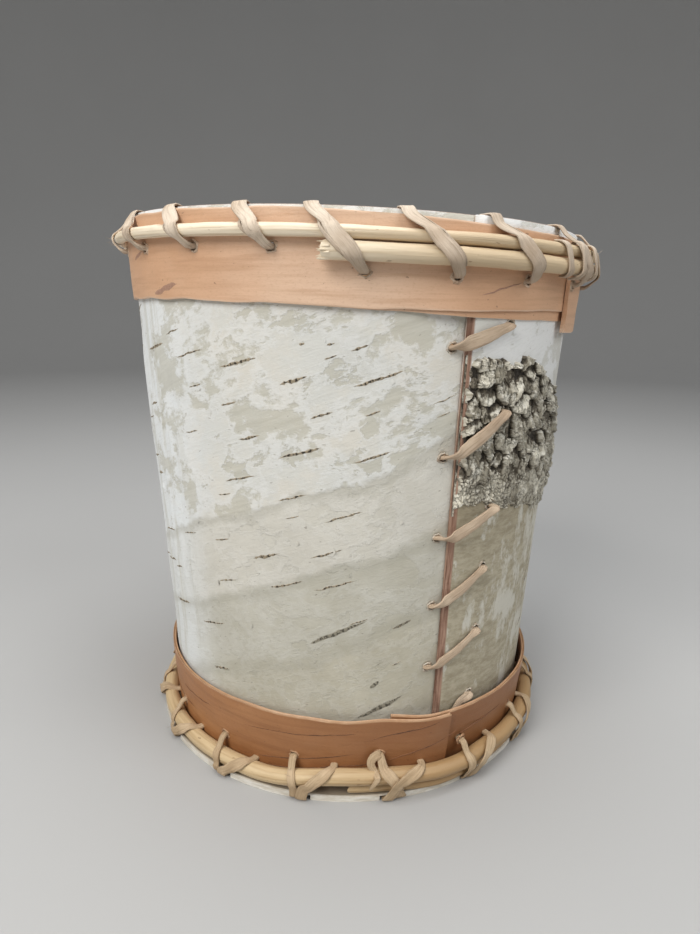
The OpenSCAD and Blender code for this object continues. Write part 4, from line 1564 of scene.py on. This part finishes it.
root_strip = strip_finish(
    "root_strip",
    dark=(0.32, 0.23, 0.155),
    mid=(0.51, 0.395, 0.285),
    light=(0.72, 0.61, 0.485),
    shade_below_rods=0.5,
)
foot_strip = strip_finish(
    "foot_strip",
    dark=(0.27, 0.17, 0.085),
    mid=(0.46, 0.325, 0.19),
    light=(0.60, 0.45, 0.285),
    shade_below_rods=0.0,
)
lace_strip = strip_finish(
    "lace_strip",
    dark=(0.30, 0.20, 0.12),
    mid=(0.48, 0.35, 0.24),
    light=(0.62, 0.485, 0.35),
    shade_below_rods=0.0,
)

# %% Routes and strips
strip_t = 0.8
hole_w = 2.2
hole_t = 1.3
inside_off = strip_t / 2 + strip_gap + 0.3
fibre_ridge = 0.03


def smooth_route(keys, spacing):
    """Stops along a route. Between two keys each column is a cubic whose slope at a key is the
    harmonic mean of the slopes on either side, or level where they change sign, so nothing
    overshoots."""
    spots = polar(keys[:, 0], keys[:, 1], keys[:, 2])
    gaps = np.linalg.norm(np.diff(spots, axis=0), axis=1)
    where = np.concatenate([[0], np.cumsum(gaps)])
    slope = np.diff(keys, axis=0) / gaps[:, None]
    ahead, behind = slope[1:], slope[:-1]
    same = ahead * behind > 0
    mean = np.where(same, 2 * ahead * behind / np.where(same, ahead + behind, 1), 0)
    tangent = np.concatenate([slope[:1], mean, slope[-1:]])
    s = np.linspace(0, where[-1], int(where[-1] / spacing) + 2)
    k = np.clip(np.searchsorted(where, s, side="right") - 1, 0, len(gaps) - 1)
    h = gaps[k][:, None]
    t = ((s - where[k]) / gaps[k])[:, None]
    route = (1 + 2 * t) * (1 - t) ** 2 * keys[k] + t * (1 - t) ** 2 * h * tangent[k]
    route = route + t**2 * (3 - 2 * t) * keys[k + 1] + t**2 * (t - 1) * h * tangent[k + 1]
    return route, s


def strip_run(keys, seed, spacing=0.8, sides=16):
    """Rings of a strip along its route: a flat oval across it, whose width and edges wander and whose
    faces carry ridges along the fibres."""
    route, s = smooth_route(np.array(keys, float), spacing)
    spot = polar(route[:, 0], route[:, 1], route[:, 2])
    turned = np.radians(route[:, 0])
    tilt = np.radians(route[:, 3])[:, None]
    outward = np.stack([np.sin(turned), -np.cos(turned), 0 * turned], -1)
    facing = np.cos(tilt) * outward + np.sin(tilt) * np.array([0, 0, 1.0])
    along = unit(np.gradient(spot, axis=0))
    across = unit(np.cross(along, facing))
    face = np.cross(across, along)
    q = circle(sides)[None]
    x = np.sign(np.cos(q)) * np.abs(np.cos(q)) ** 0.6
    y = np.sign(np.sin(q)) * np.abs(np.sin(q)) ** 0.7
    far = s[:, None]
    uneven = 1 + 0.08 * grain(far / 8, seed, seed) + 0.05 * grain(far / 1.7, np.sign(x) + 4, seed + 1)
    wide = route[:, 4:5] / 2 * uneven
    thick = route[:, 5:6] / 2
    ridges = fibre_ridge * grain(x * wide * 2.2 + 30, far / 16, seed + 2) * (1 + np.sign(y))
    curl = 0.14 * (x**2 - 0.5) * (wide / 3) * grain(far / 11, 9, seed + 3)
    sideways = across[:, None] * (x * wide)[..., None]
    outwards = face[:, None] * (y * thick + ridges + curl)[..., None]
    return spot[:, None] + sideways + outwards, np.linspace(0, girth, sides + 1), s * mm


def beside(a, rod, s, facing, wide, more=0.0):
    """A stop beside a rod, at an angle round the rod's section: off it by half the strip and a gap,
    and by what more is asked."""
    r, z, d = [float(v) for v in rod]
    off = d / 2 + strip_gap + strip_t / 2 + more
    out, up = off * math.cos(math.radians(s)), off * math.sin(math.radians(s))
    return [a, r + out, z + up, facing + s, wide, strip_t]


print(f"strips {strip_t} mm thick, {inside_off:.1f} mm off the wall inside")

# %% Rim wrap
rim_strip_w = 4.8


def rim_lean(a):
    """How far a turn leans to the left as it climbs, in degrees: more on the front right."""
    return 6.5 + 3.8 * ease((a + 16) / 20) * ease((62 - a) / 14)


def rim_stop(a, run, s, facing, over):
    """A stop where the strip crosses a run of the rod: it leans to the left as it climbs."""
    _, z, d = run(a)
    at = z + d / 2 * math.sin(math.radians(s))
    low = rim_hole_z(a)
    b = float(a - rim_lean(a) * (at - low) / (over - low))
    return beside(b, run(b), s, facing, rim_strip_w * (0.85 if s < -40 else 1), -0.15)


def rim_turn(i):
    """One turn: out of a hole below the hoop, over the hoop, the band's edge and the wall's edge, and
    down inside to the next hole."""
    a = float(rim_hole_a[i])
    z = float(rim_hole_z(a))
    facing = 360.0 * i
    b = a - float(rim_lean(a))
    over = float(rim_z(b)) + 0.55
    edge = float(rim_band_high(turn(b) + 360)) + 0.4
    skin = float(wall_r(over) + seam_cover(b))
    after = float(rim_hole_z(a - rim_pitch))
    wide = rim_strip_w
    return [
        [a, wall_in(z) + wall_t / 2, z, facing - 90, hole_w + 0.6, hole_t + 0.8],
        [a - 0.2, rim_out(a, z) + 1.0 + 6 * wall_lean, z + 0.1, facing - 60, hole_w + 1.2, hole_t + 0.3],
        *[rim_stop(a, rim_low, s, facing, over) for s in (-55, -25, 0)],
        *[rim_stop(a, rim_high, s, facing, over) for s in (5, 35, 60)],
        [b + 0.4, float(rim_out(b, edge)) + 0.45, edge, facing + 48, wide, strip_t],
        [b, skin + 0.1, over, facing + 70, wide, strip_t],
        [b - 0.2, wall_in(over) - 0.45, over - 0.1, facing + 130, wide * 0.9, strip_t],
        [b - 0.6, wall_in(over) - inside_off, over - 2.4, facing + 175, wide * 0.85, strip_t],
        [b - 3, wall_in(over - 8) - inside_off, over - 8, facing + 180, wide * 0.75, strip_t],
        [a - rim_pitch + 0.3, wall_in(after) - inside_off, after + 0.4, facing + 225, hole_w, hole_t * 0.8],
    ]


start_a = float(rim_hole_a[0])
start_z = float(rim_hole_z(start_a))
rim_start = [
    [start_a + 6, wall_in(start_z - 7) - inside_off, start_z - 7, -180.0, 2.6, strip_t],
    [start_a + 0.6, wall_in(start_z) - inside_off, start_z - 0.6, -140.0, hole_w, hole_t * 0.8],
]
rim_keys = rim_start + [row for i in range(rim_turns) for row in rim_turn(i)][:-1]
ring_piece("rim_wrap", [strip_run(rim_keys, 101)], root_strip, ("rim_lashing",))

# %% Foot wraps
foot_strip_w = 3.4
sole = 0.55
slit_r = wall_in(disc_t) - 3


def foot_turn(a, notch, above, next_a, next_z, facing):
    """One turn: out of a hole above the hoop, down over the hoop, round the disc's edge, up through a
    slit in the disc and up inside to the next hole."""
    z = float(foot_hole_z(a, above))
    w, t, d, go = foot_strip_w, strip_t, notch - a, next_a - notch
    b, c, e, g, h = [a + d * share for share in (0.15, 0.35, 0.6, 0.75, 0.9)]
    edge = disc_r + strip_gap + t / 2 + 0.1
    low = beside(h, foot_low(h), -45, facing, w)
    return [
        [a, wall_in(z) + wall_t / 2, z, facing + 90, hole_w + 0.5, hole_t + 0.7],
        [a + d * 0.03, float(foot_out(a, z)) + 1.0, z - 0.1, facing + 75, hole_w + 0.6, hole_t + 0.2],
        beside(b, foot_high(b), 70, facing, w * 0.8, -0.1),
        beside(c, foot_high(c), 38, facing, w, -0.1),
        beside(e, foot_high(e), 5, facing, w, -0.1),
        beside(g, foot_high(g), -18, facing, w),
        [h, max(low[1], edge) + 0.55, max(low[2], disc_t + t) + 0.6, facing - 10, w, t],
        [notch, edge, disc_t * 0.6, facing - 25, w * 1.15, t],
        [notch, disc_r - 1.2, sole, facing - 90, w, t],
        [notch, slit_r + 1.6, sole, facing - 90, w * 0.8, t],
        [notch, slit_r, disc_t * 0.7, facing - 170, hole_w, hole_t],
        [notch + go * 0.03, slit_r - 0.1, disc_t + 2, facing - 180, hole_w, t],
        [next_a - 0.2, wall_in(next_z) - inside_off, next_z - 0.4, facing - 225, hole_w, hole_t * 0.8],
    ]


over_lift = (0, 0.1, 0.3, 0.6, 0.8, 0.7, 0)
over_wide = (1.2, 1.3, 1.3, 1.25, 1.2, 1.1, 1)
knot_wide = 1.35


def foot_stitch(i):
    """Two turns that cross at the disc's edge and make a V. The second lies over the first. The first
    stitch of all crosses the other way, as a knot, and is wider."""
    a = foot_first + foot_pitch * i
    b, c = a + foot_leg, a + foot_pitch
    b_z, c_z = float(foot_hole_z(b, second_leg_up)), float(foot_hole_z(c, first_leg_up))
    near, far = (4.6, 1.6) if i == 0 else (1.2, 3.0)
    first = foot_turn(a, a + near, first_leg_up, b, b_z, -720.0 * i)
    second = foot_turn(b, a + far, second_leg_up, c, c_z, -720.0 * i - 360)
    for row, lift, wide in zip(second[2:9], over_lift, over_wide):
        row[1] += lift
        row[4] *= wide
    for row in first[2:8]:
        row[4] *= knot_wide if i == 0 else 1.0
    return first + second


half_way = foot_stitches // 2
right_keys = [row for i in range(half_way) for row in foot_stitch(i)][:-1]
left_keys = [row for i in range(half_way, foot_stitches) for row in foot_stitch(i)][:-1]
right_runs = [strip_run(right_keys, 111)]
left_runs = [strip_run(left_keys, 121)]
ring_piece("foot_wrap_right", right_runs, foot_strip, ("foot_lashing_right",))
ring_piece("foot_wrap_left", left_runs, foot_strip, ("foot_lashing_left",))

# %% Lacing up the lap
lace_w = 4.4


def lace_skin(i, z):
    """Radius of what a stitch lies on: the lap, and the rough bark where the stitch crosses it."""
    crosses = lace_right_z[i] < rough_high + 8 and lace_right_z[i] > rough_low - 8
    return wall_r(z) + wall_t + lap_gap + (seat_gap + rough_t if crosses else 0)


def lace_stitch(i):
    """One stitch: out of the right hole, slanting down over the lap's edge, into the left hole and
    down inside. Each stitch is a little narrower than the one above."""
    wide = lace_w * (1 - 0.06 * i)
    zr, zl = float(lace_right_z[i]), float(lace_left_z[i])
    a, b = lace_right_at, lace_left_at
    facing = -360.0 * i
    off = strip_gap + strip_t / 2 + 2 * wall_lean - 0.1
    rise = (zr - zl) / (a - b)
    after = float(lace_right_z[min(i + 1, lace_count - 1)])
    left = seam_at + 0.4
    over = seam_at - 0.9
    return [
        [a, wall_in(zr) - inside_off, zr + 0.3, facing + 135, hole_w, hole_t * 0.8],
        [a, wall_r(zr), zr, facing + 90, hole_w, hole_t],
        [a - 0.2, lace_skin(i, zr) + off + 0.4, zr - 0.2, facing + 60, hole_w + 0.9, hole_t],
        [a - 2.5, lace_skin(i, zr) + off + 0.2, zr - 2.5 * rise, facing + 5, wide * 0.85, strip_t + 0.2],
        [a - 6, lace_skin(i, zr) + off + 0.2, zr - 6 * rise, facing, wide * 1.05, strip_t + 0.3],
        [left, lace_skin(i, zl) + off + 0.2, zl + (left - b) * rise, facing, wide * 1.1, strip_t + 0.3],
        [over, lace_skin(i, zl) + off + 0.2, zl + (over - b) * rise, facing - 25, wide, strip_t + 0.3],
        [b + 0.2, wall_r(zl) + 1 + 4 * wall_lean, zl + 0.3, facing - 65, hole_w + 1.2, hole_t],
        [b, wall_in(zl) + wall_t / 2, zl, facing - 90, hole_w + 0.8, hole_t + 0.6],
        [b, wall_in(zl - 2) - inside_off, zl - 0.3, facing - 135, hole_w, hole_t * 0.8],
        [b + 2, wall_in(zl - 4) - inside_off, zl - 2, facing - 180, lace_w * 0.7, strip_t],
        [a - 2, wall_in(after) - inside_off, after + 2, facing - 180, lace_w * 0.7, strip_t],
    ]


def lace_tail(d):
    """A stop of the lacing's tail, at a height over the foot band's top edge, tucked in behind it."""
    z = foot_band_top + d
    r = wall_r(z) + (wall_t + lap_gap + strip_gap + strip_t / 2 + 0.5)
    return [lace_right_at - 4 + d / 2, r, z, -360.0 * (lace_count - 1), lace_w * 0.8, strip_t]


lace_keys = [row for i in range(lace_count - 1) for row in lace_stitch(i)]
lace_keys += lace_stitch(lace_count - 1)[:3] + [lace_tail(d) for d in (1, -2.5, -4.5)]
ring_piece("lap_lace", [strip_run(lace_keys, 131)], lace_strip, ("seam_lacing",))

# %% [markdown]
# ## Loose ends
# Hand work leaves traces. The first foot stitch has a twisted tail, and strips are bound over the
# rods near the rim rod's end at the right. Awl holes have torn lips, the rim rod's butt is frayed,
# and split root sheds fine fibres.


# %% Tail of the first foot stitch
def foot_tail():
    """A tail that leaves the first hole, turns over to the left and lies down across the rod."""
    z = float(foot_hole_z(foot_first, first_leg_up))
    r = float(foot_out(foot_first, z))
    rod_r, rod_z, rod_d = [float(v) for v in foot_high(7.0)]
    front = rod_r + rod_d / 2 + 0.75
    return [
        [9.6, r - 0.3, z - 0.5, 50, 2.4, 0.9],
        [8.7, r + 1.7, z + 1.0, 35, 3.1, 0.9],
        [7.3, r + 2.5, z + 0.5, 20, 3.3, 0.9],
        [6.5, r + 2.8, z - 2.0, 15, 3.0, 0.9],
        [7.4, r + 3.4, z - 4.6, 25, 2.5, 0.9],
        [7.9, front - 0.3, rod_z + 1.6, 15, 2.3, 0.8],
        [7.0, front, rod_z - 0.6, 0, 1.8, 0.7],
        [6.1, front - 0.3, rod_z - 2.8, -15, 0.8, 0.5],
    ]


ring_piece("foot_tail", [strip_run(foot_tail(), 141)], foot_strip)


# %% Bindings over the rods at the right
def binding(a, lean, wide, lift):
    """A strip bound over both runs of the rim rod: it comes from below them, crosses them and tucks in
    above. It leans evenly from its first stop to its last."""
    stops = [(s, rim_low) for s in (-105, -60, -20)] + [(s, rim_high) for s in (10, 45, 85, 118)]
    places = [(a - lean * (s + 105) / 220, run, s) for s, run in stops]
    return [beside(b, run(b), s, 0.0, wide, lift) for b, run, s in places]


# Angle, lean, width and lift of each
bound = [(47.5, 3.0, 3.4, -0.2), (50.0, -2.0, 3.0, 0.35), (54.5, 3.5, 4.0, 0.0), (58.0, -1.5, 3.2, 0.25)]
bindings = [strip_run(binding(*row), 142 + k) for k, row in enumerate(bound)]
ring_piece("loose_ends", bindings, root_strip)


# %% Slivers beside the rim wrap
def sliver(keys, side, wide):
    """A sliver that has split off a strip: it follows the strip's keys at one edge and bows away from
    it by half a sine wave."""
    rows = np.array(keys, float)
    bow = np.sin(np.pi * np.linspace(0, 1, len(rows)))
    rows[:, 0] += side * (1.45 + 0.55 * bow)
    rows[:, 1] += 0.15 * bow
    rows[:, 4] = wide * (0.45 + 0.55 * bow)
    rows[:, 5] = 0.4
    return rows


split_off = np.random.default_rng(149)
slivers = []
for i in range(rim_turns):
    side = split_off.choice([-1, 1])
    wide = split_off.uniform(0.6, 1.1)
    slivers.append(strip_run(sliver(rim_turn(i)[2:9], side, wide), 170 + i, 1.2, 8))
ring_piece("rim_slivers", slivers, root_strip)

# %% Torn lips round the holes
lip_sides = 22
lip_r = 90
lip_ring = np.array([0.0, 0.35, 0.7, 1.0])[None, :, None]


def torn_lips(name, holes, surface, finish, seed):
    """A ragged collar round each hole: rings that rise from the bark and fold back, torn by noise."""
    a0, z0 = holes[:, 0][:, None, None], holes[:, 1][:, None, None]
    s = circle(lip_sides)[None, None]
    torn = grain(3 * np.cos(s) + a0, 3 * np.sin(s) + z0, seed)
    torn = torn + 0.6 * grain(7 * np.cos(s) + z0, 7 * np.sin(s) + a0, seed + 1)
    wide = 1.35 + lip_ring * (0.75 + 0.55 * torn)
    lift = 0.10 + 0.42 * np.sin(np.pi * lip_ring**0.8) * (0.7 + 0.5 * torn) - 0.28 * lip_ring**3
    z = z0 + wide * np.sin(s)
    a = a0 + np.degrees(wide * 1.1 * np.cos(s) / lip_r)
    points = polar(a, surface(a, z) + lift, z).reshape(-1, 3)
    faces = ring_faces(lip_ring.size, lip_sides)[0]
    faces = copies(faces, len(holes), lip_ring.size * lip_sides)
    uv = np.stack(np.broadcast_arrays(wide * s, wide), -1).reshape(-1, 2) * mm
    marks = {"core": np.broadcast_to(0.3 + 0.3 * torn, z.shape)}
    return make_piece(name, points, [faces], finish, [uv[faces]], marks, 80)


torn_rim = mark_finish(
    "torn_bark",
    dark=(0.36, 0.22, 0.135),
    mid=(0.55, 0.385, 0.26),
    pale=(0.70, 0.555, 0.42),
)
torn_foot = mark_finish(
    "torn_foot",
    dark=(0.14, 0.062, 0.03),
    mid=(0.34, 0.175, 0.085),
    pale=(0.52, 0.32, 0.185),
)
torn_wall = mark_finish(
    "torn_wall",
    dark=(0.20, 0.13, 0.085),
    mid=(0.44, 0.35, 0.26),
    pale=(0.62, 0.56, 0.47),
)
torn_lips("rim_hole_lips", rim_holes, sunk(rim_out, 0.05), torn_rim, 151)
torn_lips("foot_hole_lips", band_foot_holes, sunk(foot_out, 0.05), torn_foot, 153)
torn_lips("lace_hole_lips", lace_holes, outer_skin, torn_wall, 157)


# %% Splinters and fibres
def hair(spot, way, length, thick, bend, sides=5, rings=7):
    """A tapered fibre from a spot along a direction, bent sideways by the square of the distance."""
    t = np.linspace(0, 1, rings)[:, None]
    way = unit(np.array(way, float))
    side = unit(np.cross(way, [0.31, 0.52, 0.80]))
    lift = np.cross(way, side)
    path = np.array(spot) + way * length * t + side * bend * t**2 * length
    q = circle(sides)[None, :, None]
    half = thick / 2 * (1 - 0.85 * t**1.5)[..., None]
    rows = path[:, None] + half * (np.cos(q) * side + np.sin(q) * lift)
    return rows, np.linspace(0, 0.002, sides + 1), t[:, 0] * length * mm


def frayed_butt(count, seed):
    """Splinters that stick out of the rim rod's cut butt, towards the left."""
    pick = np.random.default_rng(seed)
    r, z, d = [float(v) for v in rim_rod(rim_butt_at)]
    turned = math.radians(rim_butt_at)
    back = np.array([-math.cos(turned), -math.sin(turned), 0])
    runs = []
    for _ in range(count):
        s = pick.uniform(0, 2 * np.pi)
        off = d / 2 * math.sqrt(pick.uniform(0.1, 0.95))
        spot = polar(rim_butt_at + 0.6, r + off * math.cos(s), z + off * math.sin(s))
        spread = np.array([math.sin(turned) * math.cos(s), -math.cos(turned) * math.cos(s), math.sin(s)])
        way = back + spread * pick.uniform(-0.1, 0.35)
        length = pick.uniform(1.6, 4.4)
        thick = pick.uniform(0.5, 1.3)
        runs.append(hair(spot, way, length, thick, pick.uniform(-0.3, 0.3)))
    return runs


def stray_fibres(count, seed):
    """Fine fibres that stand off the strips. Each starts at a stop on the outside of a rim turn or a
    foot stitch."""
    pick = np.random.default_rng(seed)
    runs = []
    for k in range(count):
        if k % 2:
            stops = rim_turn(pick.integers(rim_turns))[2:9]
        else:
            stops = foot_stitch(pick.integers(foot_stitches))[2:7]
        a, r, z = stops[pick.integers(len(stops))][:3]
        a = a + pick.uniform(-1.4, 1.4)
        turned = math.radians(a)
        way = np.array([math.sin(turned), -math.cos(turned), 0]) * 0.5 + pick.normal(0, 0.7, 3)
        length = pick.uniform(1.2, 4.0)
        runs.append(hair(polar(a, r, z), way, length, 0.15, pick.uniform(-0.6, 0.6), 4, 6))
    return runs


ring_piece("butt_splinters", frayed_butt(34, 161), rim_willow)
ring_piece("stray_fibres", stray_fibres(110, 163), root_strip)
